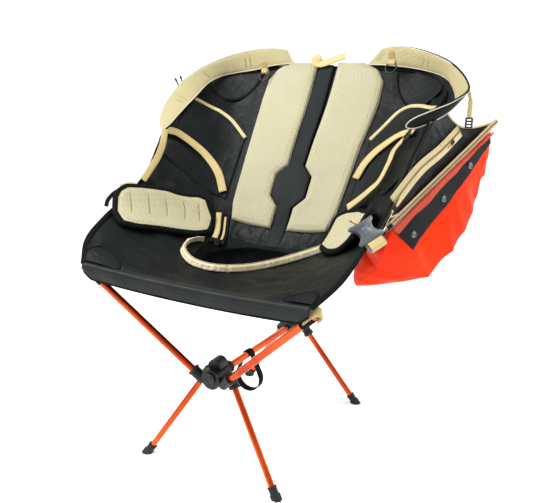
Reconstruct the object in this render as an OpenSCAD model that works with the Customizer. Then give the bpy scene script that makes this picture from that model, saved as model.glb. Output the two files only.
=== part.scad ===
// Ultralight backpacking chair: a shock-corded pole frame that carries the
// back panel, seat sling and gear bag of a backpack.
// Chair axes before placing: X to the sitter's left-hand side of the front
// view's right, Y from the front hem to the back, Z up, feet on Z = 0.

/* [Frame] */
// Outer diameter of the upper poles and the centre tube
pole_d = 14.5; // [13:0.5:16]
// Outer diameter of the four legs
leg_d = 12.5; // [11:0.5:13.5]
// Wall thickness of every tube
tube_wall = 0.9; // [0.7:0.1:1.5]
// Half the distance between the two front feet
front_foot_x = 156; // [140:1:175]
// Half the distance between the two rear feet
rear_foot_x = 149; // [135:1:170]
// Distance of the front feet in front of the chair's middle
front_foot_y = 210; // [195:1:225]
// Distance of the rear feet behind the chair's middle
rear_foot_y = 188; // [175:1:205]
// Height of the front hub
front_hub_z = 200; // [190:1:210]
// Height of the rear hub
rear_hub_z = 186; // [176:1:196]

/* [Sling and pads] */
// Thickness of the sling fabric with its seams
sheet_t = 3; // [2:0.5:4]
// Thickness of the two mesh back pads
pad_t = 10; // [6:1:12]
// Thickness of the shoulder straps
strap_t = 9; // [6:1:11]
// Thickness of the hip belt wings
wing_t = 11; // [8:1:13]
// Width of the wide webbing
webbing_w = 20; // [15:1:25]

/* [Fits] */
// Radial clearance of a tube in its socket
socket_gap = 0.05; // [0.03:0.01:0.1]
// Gap between layers of fabric
layer_gap = 1; // [0.6:0.1:1.5]

/* [Hidden] */
$fn = 48;
eps = 0.01;

// Middle of the overall width and depth, moved to the origin when placed
middle_x = 27.7;
middle_y = 49.6;

pole_r = pole_d / 2;
leg_r = leg_d / 2;

// Frame points of the right-hand side
front_leg_top = [26, -158, front_hub_z];
front_foot = [front_foot_x, -front_foot_y, 0];
rear_leg_top = [24, 158, rear_hub_z];
rear_foot = [rear_foot_x, rear_foot_y, 0];
front_pole_base = [26, -180, front_hub_z - 6];
front_pole_tip = [250, -238, 403];
back_pole_base = [26, 180, rear_hub_z + 4];
back_pole_tip = [234, 310, 736];
tube_front = [0, -170, front_hub_z + 1];
tube_rear = [0, 168, rear_hub_z];
back_pole_split = 0.5;

// Sling rows from the front hem to the top of the back: centre y and z,
// half width, edge y and z, and the power of the sag between them
SLING = [
    [-250, 410, 250, -250, 418, 2],
    [-200, 403, 279, -205, 452, 2],
    [-130, 393, 287, -142, 483, 2],
    [-40, 384, 289, -75, 510, 2.2],
    [40, 396, 290, -15, 542, 2.5],
    [88, 436, 294, 30, 578, 2.8],
    [147, 519, 302, 85, 638, 3.5],
    [205, 600, 308, 135, 680, 4.5],
    [277, 688, 311, 205, 712, 6],
    [330, 768, 304, 262, 730, 6]
];
mouth_u = 0.45;      // half width of the storage pocket's mouth
back_start = 0.47;   // where the back panel begins
pad_start = 0.55;    // where the back pads begin

// Inner and outer edges of a back pad, by distance up the sling
PAD_IN = [[0.55, 0.068], [0.612, 0.068], [0.637, 0.145], [0.694, 0.145], [0.722, 0.068], [1, 0.085]];
PAD_OUT = [[0.55, 0.4], [0.6, 0.435], [0.78, 0.45], [0.89, 0.475], [0.95, 0.475], [0.98, 0.42], [1, 0.29]];
STRIP_EDGE = [[0.55, 0.058], [0.612, 0.058], [0.637, 0.135], [0.694, 0.135], [0.722, 0.058], [1, 0.058]];

// Shoulder straps: lower and upper edge of each, from the yoke to the tip
LEFT_STRAP_LOW = [
    [-95, 338, 775], [-140, 322, 771], [-188, 311, 761], [-232, 302, 755], [-266, 284, 747],
    [-285, 252, 728], [-289, 210, 702], [-290, 165, 678], [-290, 125, 656], [-290, 92, 636]
];
LEFT_STRAP_HIGH = [
    [-119, 352, 806], [-155, 340, 810], [-200, 320, 806], [-246, 298, 796], [-288, 268, 777],
    [-315, 235, 752], [-333, 203, 726], [-342, 165, 692], [-337, 128, 660], [-313, 92, 628]
];
RIGHT_STRAP_LOW = [
    [97, 338, 772], [141, 323, 772], [195, 317, 768], [240, 305, 762], [285, 280, 752], [312, 245, 736],
    [330, 212, 716], [336, 185, 702], [326, 160, 687], [306, 135, 673], [271, 112, 657]
];
RIGHT_STRAP_HIGH = [
    [124, 352, 806], [159, 338, 811], [205, 318, 807], [250, 296, 797], [293, 268, 783], [325, 242, 766],
    [350, 214, 745], [358, 190, 728], [336, 160, 709], [306, 133, 694], [264, 110, 674]
];

// Gear bag: ridge, outer, low inner and high inner line, near to far
BAG_RIDGE = [[279, 20, 484], [337, 156, 568], [389, 282, 643]];
BAG_OUTER = [[350, 60, 388], [386, 178, 470], [392, 282, 562]];
BAG_INNER = [[200, 64, 346], [250, 185, 425], [306, 296, 512]];
BAG_UPPER = [[214, 62, 425], [268, 185, 515], [335, 296, 596]];
ridge_near = [275, 12, 483];
ridge_far = [398, 300, 656];

// ---------------------------------------------------------------- helpers

function unit(v) = v / norm(v);
function mix(a, b, t) = a + (b - a) * t;
function flip(p) = [-p[0], p[1], p[2]];
function span(n) = [for (k = [0 : n]) k / n];

// Smooth curve through a list of rows, t from 0 to 1 over the whole list
function beyond(rows, k) =
    k < 0 ? 2 * rows[0] - rows[1]
    : k >= len(rows) ? 2 * rows[len(rows) - 1] - rows[len(rows) - 2]
    : rows[k];
function blend4(a, b, c, d, t) =
    0.5 * (2 * b + (c - a) * t + (2 * a - 5 * b + 4 * c - d) * t * t
    + (3 * b - 3 * c + d - a) * t * t * t);
function curve(rows, t) =
    let (n = len(rows) - 1, s = min(max(t, 0), 1) * n, k = min(floor(s), n - 1))
    blend4(beyond(rows, k - 1), rows[k], rows[k + 1], beyond(rows, k + 2), s - k);

// Point of the sling: u from -1 to 1 across, v from 0 at the front hem to 1
function sling(u, v) =
    let (r = curve(SLING, v), w = pow(abs(u), r[5]))
    [r[2] * u, mix(r[0], r[3], w), mix(r[1], r[4], w)];
function sling_normal(u, v) =
    let (d = 0.004, w = min(max(v, d), 1 - d))
    unit(cross(sling(u + d, w) - sling(u - d, w), sling(u, w + d) - sling(u, w - d)));
function lifted(u, v, h) = sling(u, v) + h * sling_normal(u, v);

// Distance along the sling to the storage pocket's lip, which runs further
// back on the right-hand side
LIP = [
    [-0.45, 0.36], [-0.41, 0.3], [-0.34, 0.265], [-0.22, 0.24], [-0.06, 0.27],
    [0.06, 0.315], [0.23, 0.37], [0.33, 0.41], [0.45, 0.455]
];
function lip_v(u) = lookup(u, LIP);

// Closed solid between two equal grids of points, high above low
module grid_solid(low, high) {
    rows = len(low);
    cols = len(low[0]);
    size = rows * cols;
    function at(s, i, j) = s * size + i * cols + j;
    function quad(a, b, c, d) = [[a, b, c], [a, c, d]];
    skins = [
        for (i = [0 : rows - 2]) for (j = [0 : cols - 2])
            each concat(
                quad(at(1, i, j), at(1, i + 1, j), at(1, i + 1, j + 1), at(1, i, j + 1)),
                quad(at(0, i, j), at(0, i, j + 1), at(0, i + 1, j + 1), at(0, i + 1, j)))
    ];
    m = rows - 1;
    n = cols - 1;
    row_edges = [
        for (j = [0 : cols - 2])
            each concat(
                quad(at(0, 0, j), at(1, 0, j), at(1, 0, j + 1), at(0, 0, j + 1)),
                quad(at(0, m, j), at(0, m, j + 1), at(1, m, j + 1), at(1, m, j)))
    ];
    col_edges = [
        for (i = [0 : rows - 2])
            each concat(
                quad(at(0, i, 0), at(0, i + 1, 0), at(1, i + 1, 0), at(1, i, 0)),
                quad(at(0, i, n), at(1, i, n), at(1, i + 1, n), at(0, i + 1, n)))
    ];
    polyhedron(
        points = concat([for (r = low) each r], [for (r = high) each r]),
        faces = concat(skins, row_edges, col_edges), convexity = 8);
}

// Patch of the sling between two heights; uv is a grid of [u, v] pairs
module sling_patch(uv, h0, h1) {
    grid_solid([for (r = uv) [for (q = r) lifted(q[0], q[1], h0)]],
               [for (r = uv) [for (q = r) lifted(q[0], q[1], h1)]]);
}

// Flat band along a path of points; side is the direction of its width
module band(path, side, w, t) {
    n = len(path) - 1;
    function tangent(k) = unit(path[min(k + 1, n)] - path[max(k - 1, 0)]);
    function face(k) = unit(cross(side[k], tangent(k)));
    grid_solid(
        [for (k = [0 : n]) [for (s = [-0.5, 0.5]) path[k] + s * w * side[k] - t / 2 * face(k)]],
        [for (k = [0 : n]) [for (s = [-0.5, 0.5]) path[k] + s * w * side[k] + t / 2 * face(k)]]);
}

// Webbing that follows the sling through a list of [u, v, height]
module sling_band(rows, w, t, steps = 14) {
    q = [for (k = span(steps)) curve(rows, k)];
    path = [for (p = q) lifted(p[0], p[1], p[2])];
    side = [
        for (k = [0 : steps])
            unit(cross(path[min(k + 1, steps)] - path[max(k - 1, 0)],
                       sling_normal(q[k][0], q[k][1])))
    ];
    band(path, side, w, t);
}

// Solid skinned over closed sections with the same number of points
function middle(s) = [for (a = [0 : 2]) [for (p = s) p[a]] * [for (p = s) 1 / len(s)]];
module loft(sections) {
    n = len(sections[0]);
    m = len(sections) - 1;
    first_cap = (m + 1) * n;
    sides = [
        for (i = [0 : m - 1]) for (j = [0 : n - 1])
            let (k = (j + 1) % n, a = i * n, b = a + n)
                each [[a + j, b + k, a + k], [a + j, b + j, b + k]]
    ];
    caps = [
        for (j = [0 : n - 1])
            let (k = (j + 1) % n)
                each [[first_cap, j, k], [first_cap + 1, m * n + k, m * n + j]]
    ];
    polyhedron(
        points = concat([for (s = sections) each s], [middle(sections[0]), middle(sections[m])]),
        faces = concat(sides, caps), convexity = 6);
}

// Local Z runs from point a towards point b
module along(a, b) {
    d = b - a;
    translate(a) rotate([0, acos(d[2] / norm(d)), atan2(d[1], d[0])]) children();
}

module both_sides() {
    children();
    mirror([1, 0, 0]) children();
}

module placed() translate([-middle_x, -middle_y, 0]) children();

// ------------------------------------------------------------------ frame

socket_depth = 26;
leg_socket_r = leg_r + 4;
pole_socket_r = pole_r + 4;

module socket(a, b, r) {
    along(a, b) {
        translate([0, 0, -5]) cylinder(r = r, h = socket_depth + 5);
        translate([0, 0, socket_depth - 6]) cylinder(r = r + 1.2, h = 6);
    }
}

module bore(a, b, r, depth = 60) {
    along(a, b) cylinder(r = r + socket_gap, h = depth);
}

// dir is -1 for the front hub and 1 for the rear hub: the side of the poles
module hub(dir, z, leg_top, foot, pole_base, tip, tube_end, tube_far) {
    mid = dir * 169;
    difference() {
        union() {
            translate([0, mid + 21, z]) rotate([90, 0, 0]) cylinder(r = 21, h = 42);
            translate([0, mid - dir * 8 + 13, z + 20]) rotate([90, 0, 0]) cylinder(r = 15, h = 26);
            translate([-17, mid - 21, z - 6]) cube([34, 42, 22]);
            translate([0, dir * 190 + 2, z + 3]) rotate([90, 0, 0]) cylinder(r = 12, h = 6);
            both_sides() {
                socket(leg_top, foot, leg_socket_r);
                socket(pole_base, tip, pole_socket_r);
            }
            along(tube_end, tube_far) cylinder(r = pole_r + 4.5, h = 48);
            along(tube_end, tube_far) translate([0, 0, 42]) cylinder(r = pole_r + 5.7, h = 6);
        }
        both_sides() {
            bore(leg_top, foot, leg_r);
            bore(pole_base, tip, pole_r);
        }
        bore(tube_end, tube_far, pole_r);
        translate([0, dir * 190, z + 3]) rotate([90 * -dir, 0, 0])
            translate([0, 0, -9]) cylinder(r = 3.05, h = 20);
    }
}

module front_hub() color([0.10, 0.11, 0.11]) placed()
    hub(-1, front_hub_z, front_leg_top, front_foot, front_pole_base, front_pole_tip,
        tube_front, tube_rear);

module rear_hub() color([0.10, 0.11, 0.11]) placed()
    hub(1, rear_hub_z, rear_leg_top, rear_foot, back_pole_base, back_pole_tip,
        tube_rear, tube_front);

// Shank in the hub and a domed washer head with a recessed ring
module rivet() {
    difference() {
        union() {
            translate([0, 0, -5]) cylinder(r = 3, h = 9.5);
            translate([0, 0, 3.1]) cylinder(r1 = 8.5, r2 = 7, h = 2.4);
        }
        translate([0, 0, 4.6]) difference() {
            cylinder(r = 5.4, h = 2);
            cylinder(r = 3.4, h = 2);
        }
    }
}

module hub_rivets() color([0.16, 0.17, 0.17]) placed() {
    translate([0, -190, front_hub_z + 3]) rotate([90, 0, 0]) rivet();
    translate([0, 190, rear_hub_z + 3]) rotate([-90, 0, 0]) rivet();
}

module tube(a, b, r) {
    along(a, b) difference() {
        cylinder(r = r, h = norm(b - a));
        translate([0, 0, -1]) cylinder(r = r - tube_wall, h = norm(b - a) + 2);
    }
}

anodised = [0.90, 0.33, 0.12];

module centre_tube() color(anodised) placed() tube(tube_front, tube_rear, pole_r);
module front_right_pole() color(anodised) placed() tube(front_pole_base, front_pole_tip, pole_r);
module front_left_pole() color(anodised) placed()
    tube(flip(front_pole_base), flip(front_pole_tip), pole_r);

back_pole_middle = mix(back_pole_base, back_pole_tip, back_pole_split);
back_pole_step = 0.3 * unit(back_pole_tip - back_pole_base);

module back_right_lower_pole() color(anodised) placed()
    tube(back_pole_base, back_pole_middle - back_pole_step, pole_r);
module back_left_lower_pole() color(anodised) placed()
    tube(flip(back_pole_base), flip(back_pole_middle - back_pole_step), pole_r);
module back_right_upper_pole() color(anodised) placed()
    tube(back_pole_middle, back_pole_tip, pole_r);
module back_left_upper_pole() color(anodised) placed()
    tube(flip(back_pole_middle), flip(back_pole_tip), pole_r);

// Inner sleeves that join the two halves of each back pole
ferrule_l = 70;
module pole_ferrules() color([0.75, 0.76, 0.78]) placed() both_sides()
    along(back_pole_middle, back_pole_tip) translate([0, 0, -ferrule_l / 2]) difference() {
        cylinder(r = pole_r - tube_wall - socket_gap, h = ferrule_l);
        translate([0, 0, -1]) cylinder(r = pole_r - tube_wall - 1.1, h = ferrule_l + 2);
    }

// Plugs that close the free ends of the four poles
module tip_cap(tip, base) {
    along(tip, base) {
        cylinder(r = pole_r - tube_wall - socket_gap, h = 14);
        translate([0, 0, -2.5]) cylinder(r = pole_r, h = 2.4);
        translate([0, 0, -2.5]) cylinder(r = pole_r - 2, h = 4);
        translate([0, 0, -5.5]) cylinder(r1 = pole_r - 2.5, r2 = pole_r, h = 3);
    }
}

module pole_tip_caps() color([0.12, 0.12, 0.12]) placed() both_sides() {
    tip_cap(front_pole_tip, front_pole_base);
    tip_cap(back_pole_tip, back_pole_base);
}

foot_bore = 9;       // where the leg tube ends above the ground, along the leg

module leg(top, foot) {
    end = foot + foot_bore * unit(top - foot);
    tube(top, end, leg_r);
}

module front_right_leg() color(anodised) placed() leg(front_leg_top, front_foot);
module front_left_leg() color(anodised) placed() leg(flip(front_leg_top), flip(front_foot));
module rear_right_leg() color(anodised) placed() leg(rear_leg_top, rear_foot);
module rear_left_leg() color(anodised) placed() leg(flip(rear_leg_top), flip(rear_foot));

// Rubber cap: collar, waist and a lobed base cut level with the ground
module foot_cap(foot, top) {
    difference() {
        along(foot, top) {
            translate([0, 0, -12]) cylinder(r = 8.4, h = 36);
            translate([0, 0, -12]) cylinder(r = 9.6, h = 18);
            translate([0, 0, 6]) cylinder(r1 = 9.6, r2 = 8.4, h = 4);
            translate([0, 0, 20]) cylinder(r = 9.2, h = 4);
            for (k = [0 : 7]) rotate(45 * k) translate([8.6, 0, -12]) cylinder(r = 2.2, h = 20);
        }
        along(foot, top) translate([0, 0, foot_bore - 0.1]) cylinder(r = leg_r + socket_gap, h = 40);
        translate([-500, -500, -60]) cube([1000, 1000, 60]);
    }
}

rubber = [0.16, 0.17, 0.18];
module front_right_foot() color(rubber) placed() foot_cap(front_foot, front_leg_top);
module front_left_foot() color(rubber) placed() foot_cap(flip(front_foot), flip(front_leg_top));
module rear_right_foot() color(rubber) placed() foot_cap(rear_foot, rear_leg_top);
module rear_left_foot() color(rubber) placed() foot_cap(flip(rear_foot), flip(rear_leg_top));

// Elastic cords inside the tubes, each with a knot behind the tip cap
cord_r = 1.4;
module inner_cord(a, b, knot) {
    along(a, b) {
        cylinder(r = cord_r, h = norm(b - a));
        if (knot) translate([0, 0, norm(b - a) - 3]) sphere(r = 3, $fn = 24);
    }
}

module shock_cords() color([0.15, 0.15, 0.15]) placed() {
    inner_cord(mix(tube_front, tube_rear, 0.01), mix(tube_front, tube_rear, 0.99), false);
    both_sides() {
        inner_cord(
            mix(front_pole_base, front_pole_tip, 0.02),
            mix(front_pole_base, front_pole_tip, 0.93), true);
        inner_cord(mix(back_pole_base, back_pole_tip, 0.01), mix(back_pole_base, back_pole_tip, 0.96), true);
    }
}

// Elastic loop that hangs on the centre tube and ties the folded frame
loop_y = -48;
loop_t = 2;
loop_w = 18;
loop_drop = 52;
loop_r = 28;
tube_slope = atan2(tube_front[2] - tube_rear[2], tube_rear[1] - tube_front[1]);
loop_centre = mix(tube_front, tube_rear, (loop_y - tube_front[1]) / (tube_rear[1] - tube_front[1]));

module loop_outline(grow) {
    hull() {
        circle(r = pole_r + 0.5 + grow, $fn = 32);
        translate([2, -loop_drop]) circle(r = loop_r + grow, $fn = 32);
    }
}

module tie_loop() color([0.06, 0.06, 0.07]) placed()
    translate(loop_centre) rotate([90 - tube_slope, 0, 0])
        translate([0, 0, -loop_w / 2]) linear_extrude(loop_w) difference() {
            loop_outline(loop_t);
            loop_outline(0);
        }

// ------------------------------------------------------------------ sling

half = sheet_t / 2;
black = [0.15, 0.16, 0.18];
sand = [0.83, 0.77, 0.62];
mesh_sand = [0.87, 0.82, 0.65];

function side_grid(s, v0 = 0, v1 = 1, rows = 32, cols = 7) =
    [for (i = span(rows)) [for (j = span(cols))
        [s > 0 ? mix(mouth_u, 1, j) : mix(-1, -mouth_u, j), mix(v0, v1, i)]]];

module seat_panel() color(black) placed()
    sling_patch([for (i = span(10)) [for (j = span(12))
        let (u = mix(-mouth_u, mouth_u, j)) [u, i * lip_v(u)]]], -half, half);

module left_side_panel() color(black) placed() sling_patch(side_grid(-1), -half, half);
module right_side_panel() color(black) placed() sling_patch(side_grid(1), -half, half);

module back_panel() color(black) placed()
    sling_patch([for (i = span(18)) [for (j = span(12))
        [mix(-mouth_u, mouth_u, j), mix(back_start, 1, i)]]], -half, half);

// Turned-down hem along the front edge
hem_drop = 27;
module front_hem() color(black) placed() {
    top = [for (j = span(16)) sling(mix(-0.93, 0.93, j), 0) + [0, -2.5, 1.5]];
    low = [for (p = top) p - [0, 1, hem_drop]];
    grid_solid([for (r = [low, top]) [for (p = r) p]],
               [for (r = [low, top]) [for (p = r) p - [0, sheet_t, 0]]]);
}

// Bag under the mouth in the sling
pocket_tilt = 9;
module pocket_bowl(grow)
    scale([(124 + grow) / 100, (74 + grow) / 100, (76 + grow) / 100])
        sphere(r = 100, $fn = 40);
module storage_pocket() color(black) placed()
    translate([0, -22, 386]) rotate([pocket_tilt, 0, 0]) difference() {
        pocket_bowl(0);
        pocket_bowl(-2.5);
        translate([-150, -150, -3]) cube([300, 300, 200]);
    }

// Zip tape that stands along the front of the mouth
lip_h = 12;
module pocket_zip_lip() color(sand) placed() {
    us = [for (j = span(16)) mix(-mouth_u + 0.02, mouth_u - 0.02, j)];
    foot = [for (u = us) lifted(u, lip_v(u) - 0.012, half + 0.6)];
    head = [for (u = us) lifted(u, lip_v(u) - 0.006, half + lip_h)];
    grid_solid([for (r = [foot, head]) [for (p = r) p + [0, 3, 0]]],
               [for (r = [foot, head]) [for (p = r) p]]);
}

// ------------------------------------------------------- pads and harness

pad_h0 = half + layer_gap;

module back_pad(s) {
    sling_patch([for (i = span(26)) [for (j = span(4))
        let (v = mix(pad_start, 1, i), a = lookup(v, PAD_IN), b = lookup(v, PAD_OUT))
            [s > 0 ? mix(a, b, j) : mix(-b, -a, j), v]]], pad_h0, pad_h0 + pad_t);
}

module left_back_pad() color(mesh_sand) placed() back_pad(-1);
module right_back_pad() color(mesh_sand) placed() back_pad(1);

// Webbing spine with its eight-sided yoke between the pads
module centre_strip() color([0.11, 0.11, 0.12]) placed()
    sling_patch([for (i = span(26)) [for (j = span(2))
        let (v = mix(pad_start, 1, i), a = lookup(v, STRIP_EDGE)) [mix(-a, a, j), v]]],
        pad_h0, pad_h0 + 3.5);

// Webbing loop over the top edge
module grab_handle() color(sand) placed() {
    rows = [[-36, 336, 791], [-29, 329, 784], [-14, 324, 781], [2, 324, 783], [22, 329, 789], [40, 335, 793]];
    band([for (k = span(12)) curve(rows, k)], [for (k = span(12)) [0, 0.83, 0.56]], webbing_w, 2.4);
}

module strap(low, high, steps = 22, t = strap_t) {
    a = [for (k = span(steps)) curve(low, k)];
    b = [for (k = span(steps)) curve(high, k)];
    face = [for (k = [0 : steps])
        unit(cross(b[k] - a[k], mix(a[min(k + 1, steps)], b[min(k + 1, steps)], 0.5)
            - mix(a[max(k - 1, 0)], b[max(k - 1, 0)], 0.5)))];
    grid_solid(
        [for (k = [0 : steps]) [for (s = span(2)) mix(a[k], b[k], s) - t / 2 * face[k]]],
        [for (k = [0 : steps]) [for (s = span(2)) mix(a[k], b[k], s) + t / 2 * face[k]]]);
}

module left_shoulder_strap() color(mesh_sand) placed() strap(LEFT_STRAP_LOW, LEFT_STRAP_HIGH);
module right_shoulder_strap() color(mesh_sand) placed() strap(RIGHT_STRAP_LOW, RIGHT_STRAP_HIGH);

// Hip belt wings lie on the sling: lower and upper edge from root to tip
LEFT_WING_LOW = [[0.45, 0.43], [0.6, 0.365], [0.75, 0.3], [0.9, 0.236], [1, 0.224]];
LEFT_WING_HIGH = [[0.49, 0.52], [0.57, 0.562], [0.74, 0.55], [0.92, 0.44], [1.09, 0.33]];
RIGHT_WING_LOW = [[0.43, 0.462], [0.55, 0.4], [0.7, 0.342], [0.88, 0.303]];
RIGHT_WING_HIGH = [[0.47, 0.58], [0.55, 0.59], [0.68, 0.575], [0.83, 0.52], [0.98, 0.385]];
right_wing_lift = 16;     // its tip stands off the sling where the buckle hangs over the edge
wing_h0 = half + 2;

module wing(low, high, lift) {
    q = [for (i = span(14)) [for (j = span(5)) mix(curve(high, i), curve(low, i), j)]];
    rise = [for (i = span(14)) wing_h0 + lift * pow(max(0, 2 * i - 1), 1.5)];
    grid_solid([for (i = [0 : 14]) [for (m = q[i]) lifted(m[0], m[1], rise[i])]],
               [for (i = [0 : 14]) [for (m = q[i]) lifted(m[0], m[1], rise[i] + wing_t)]]);
}

module left_hip_wing() color(mesh_sand) placed() mirror([1, 0, 0]) wing(LEFT_WING_LOW, LEFT_WING_HIGH, 0);
module right_hip_wing() color(mesh_sand) placed() wing(RIGHT_WING_LOW, RIGHT_WING_HIGH, right_wing_lift);

// Local frame on the sling: origin lifted by h, X across, Z off the fabric
module on_sling(u, v, h, turn = 0) {
    n = sling_normal(u, v);
    translate(lifted(u, v, h))
        rotate([0, acos(n[2]), atan2(n[1], n[0])]) rotate(turn) children();
}

// Moves a shape onto the axes x, y and z at p
module on_axes(p, x, y, z) {
    multmatrix([[x[0], y[0], z[0], p[0]], [x[1], y[1], z[1], p[1]], [x[2], y[2], z[2], p[2]], [0, 0, 0, 1]])
        children();
}

// Socket half of the side release buckle with its webbing bar; it lies over
// the sling's right-hand edge, its mouth down and outwards
buckle_top = [283, -109, 522];
buckle_y = unit([0.72, -0.1, -0.69]);
buckle_x = unit(cross(buckle_y, [0.56, -0.48, 0.66]));
buckle_n = cross(buckle_x, buckle_y);

module hip_buckle() color([0.42, 0.44, 0.46]) placed()
    on_axes(buckle_top, buckle_x, buckle_y, buckle_n) difference() {
        union() {
            translate([-17, -21, -4]) cube([34, 38, 8]);
            translate([-25, -21, -3]) cube([50, 9, 6]);
            translate([-25, 8, -3]) cube([50, 9, 6]);
            translate([-20, 17, -3]) cube([40, 16, 6]);
        }
        translate([-14, -22, -2.2]) cube([28, 26, 4.4]);
        translate([-16, 21, -5]) cube([32, 5, 10]);
    }

// --------------------------------------------------- sleeves and pockets

// Fabric sleeves that hold the ends of the poles
sleeve_l = 54;
module sleeve(tip, base) {
    along(tip, base) translate([0, 0, -8]) difference() {
        cylinder(r = pole_r + 2.2, h = sleeve_l);
        translate([0, 0, 1.8]) cylinder(r = pole_r + 0.6, h = sleeve_l);
    }
}

module front_pole_sleeves() color(black) placed() both_sides() sleeve(front_pole_tip, front_pole_base);
module back_pole_sleeves() color(black) placed() both_sides() sleeve(back_pole_tip, back_pole_base);

// Round reinforcements on the face of the sling over the pole ends
patch_h0 = half + layer_gap + 0.7;
module half_oval(u0, v0, ru, rv, dir) {
    sling_patch([for (i = span(8)) [for (j = span(6))
        let (a = mix(0.04, 1, dir > 0 ? i : 1 - i), w = ru * sqrt(1 - pow(a * 0.98, 2)))
            [u0 + mix(-w, w, j), v0 + dir * rv * a]]], patch_h0, patch_h0 + 1.6);
}

module sleeve_patches() color([0.17, 0.18, 0.20]) placed() both_sides() {
    half_oval(0.76, 0.985, 0.15, 0.11, -1);
    half_oval(0.83, 0.012, 0.13, 0.09, 1);
}

// Flat stretch pockets on the side panels, with a bound upper edge
LEFT_POCKET_TOP = [[0.5, 0.79], [0.7, 0.832], [0.93, 0.855]];
RIGHT_POCKET_TOP = [[0.53, 0.822], [0.66, 0.872], [0.8, 0.875], [0.93, 0.855]];
module stash_pocket(top) {
    sling_patch([for (i = span(8)) [for (j = span(6))
        let (u = mix(0.52, 0.93, j)) [u, mix(0.6, lookup(u, top), i)]]],
        half + layer_gap, half + layer_gap + 2.4);
}

module left_stash_pocket() color(black) placed() mirror([1, 0, 0]) stash_pocket(LEFT_POCKET_TOP);
module right_stash_pocket() color(black) placed() stash_pocket(RIGHT_POCKET_TOP);

// ---------------------------------------------------------------- webbing

module left_webbing() color(sand) placed() {
    sling_band(
        [[-0.955, 0.65, 9], [-0.9, 0.69, 10], [-0.77, 0.692, 9], [-0.62, 0.66, 8], [-0.53, 0.615, 7]],
        webbing_w, 1.6);
    sling_band([[-0.985, 0.6, 9], [-0.99, 0.54, 10], [-0.985, 0.475, 9]], 12, 1.6, 8);
}

module right_webbing() color(sand) placed()
    sling_band(
        [[0.9, 0.775, 10], [0.76, 0.795, 10], [0.62, 0.77, 9], [0.54, 0.735, 8], [0.52, 0.69, 7]],
        webbing_w, 1.6);

module right_loose_webbing() color(sand) placed()
    sling_band(
        [
            [0.86, 0.75, 14], [0.8, 0.73, 14], [0.755, 0.69, 14],
            [0.68, 0.66, 15], [0.6, 0.63, 17], [0.56, 0.615, 18]
        ],
        14, 1.6);

// Ladder locks at the strap tips
module ladder_lock() difference() {
    translate([-14, -11, 0]) cube([28, 22, 5]);
    translate([-11, -7.5, -1]) cube([22, 4, 7]);
    translate([-11, 3.5, -1]) cube([22, 4, 7]);
}

module strap_adjusters() color([0.08, 0.08, 0.08]) placed() {
    on_sling(-0.985, 0.61, 15, -30) ladder_lock();
    on_sling(0.9, 0.74, 16, 60) ladder_lock();
}

// ------------------------------------------------------------- gear rings

ring_r = 12;
ring_wire = 1.6;
left_ring_top = [-152, 298, 758];
right_ring_top = [168, 294, 778];
tab_w = 12;
tab_bore = 3.8;      // clears the ring's curve inside the tab

// Webbing tab folded round a ring, its sewn end up towards the strap
module tab(p) translate(p) rotate([30, 0, 0]) difference() {
    union() {
        rotate([0, 90, 0]) cylinder(r = tab_bore + 1.4, h = tab_w, center = true);
        translate([-tab_w / 2, 1, 2]) cube([tab_w, 3.4, 22]);
    }
    rotate([0, 90, 0]) cylinder(r = tab_bore, h = tab_w + 2, center = true);
}

module ring_tabs() color(sand) placed() {
    tab(left_ring_top);
    tab(right_ring_top);
}

module ring(p) translate(p) rotate([60, 0, 0]) translate([0, -ring_r, 0])
    rotate_extrude() translate([ring_r, 0]) circle(r = ring_wire, $fn = 20);

module left_gear_ring() color([0.08, 0.08, 0.08]) placed() ring(left_ring_top);
module right_gear_ring() color([0.08, 0.08, 0.08]) placed() ring(right_ring_top);

// --------------------------------------------------------------- gear bag

function ridge(t) = mix(ridge_near, ridge_far, t);
ridge_dir = unit(ridge_far - ridge_near);

// Panel from the sling's right-hand edge out to the ridge of the bag
gusset_puff = 6 * unit([1, -0.28, 0]);     // how far its middle bulges outwards
gusset_rim = [-9.6, 0, 4];     // its rim, inside the main zip's tape
function gusset(s, t) =
    mix(lifted(1, mix(0.42, 0.85, t), -3) + [3.5, 0, 0], ridge(t) + gusset_rim, s)
        + gusset_puff * sin(180 * t) * sin(300 * min(s, 0.6));
function gusset_normal(s, t) =
    unit(cross(gusset(s + 0.01, t) - gusset(s - 0.01, t), gusset(s, t + 0.01) - gusset(s, t - 0.01)));
function off_gusset(s, t, h) = gusset(s, t) + h * gusset_normal(s, t);

module gusset_patch(s0, s1, t0, t1, h0, h1, rows = 12, cols = 4) {
    grid_solid(
        [for (i = span(rows)) [for (j = span(cols)) off_gusset(mix(s0, s1, j), mix(t0, t1, i), h0)]],
        [for (i = span(rows)) [for (j = span(cols)) off_gusset(mix(s0, s1, j), mix(t0, t1, i), h1)]]);
}

module side_gusset() color(black) placed() gusset_patch(0, 1, 0, 1, -1.2, 1.2);

// Section of the bag at distance t along the ridge, its sides bulged
function bag_corner(k, t) = curve([BAG_RIDGE, BAG_OUTER, BAG_INNER, BAG_UPPER][k], t);
function bag_middle(t) =
    (bag_corner(0, t) + bag_corner(1, t) + bag_corner(2, t) + bag_corner(3, t)) / 4;
function bag_section(t, shrink = 0, n = 6) =
    let (c = bag_middle(t))
    [for (k = [0 : 3]) for (j = [0 : n - 1])
        let (p = mix(bag_corner(k, t), bag_corner((k + 1) % 4, t), j / n),
             q = p + (p - c) * 0.1 * sin(180 * j / n))
            q - shrink * unit(q - c)];

bag_wall = 2;
module gear_bag() color([0.98, 0.30, 0.12]) placed() difference() {
    loft([for (t = span(10)) bag_section(t)]);
    loft([for (t = span(10)) bag_section(mix(0.02, 0.98, t), bag_wall * 1.4)]);
}

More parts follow.
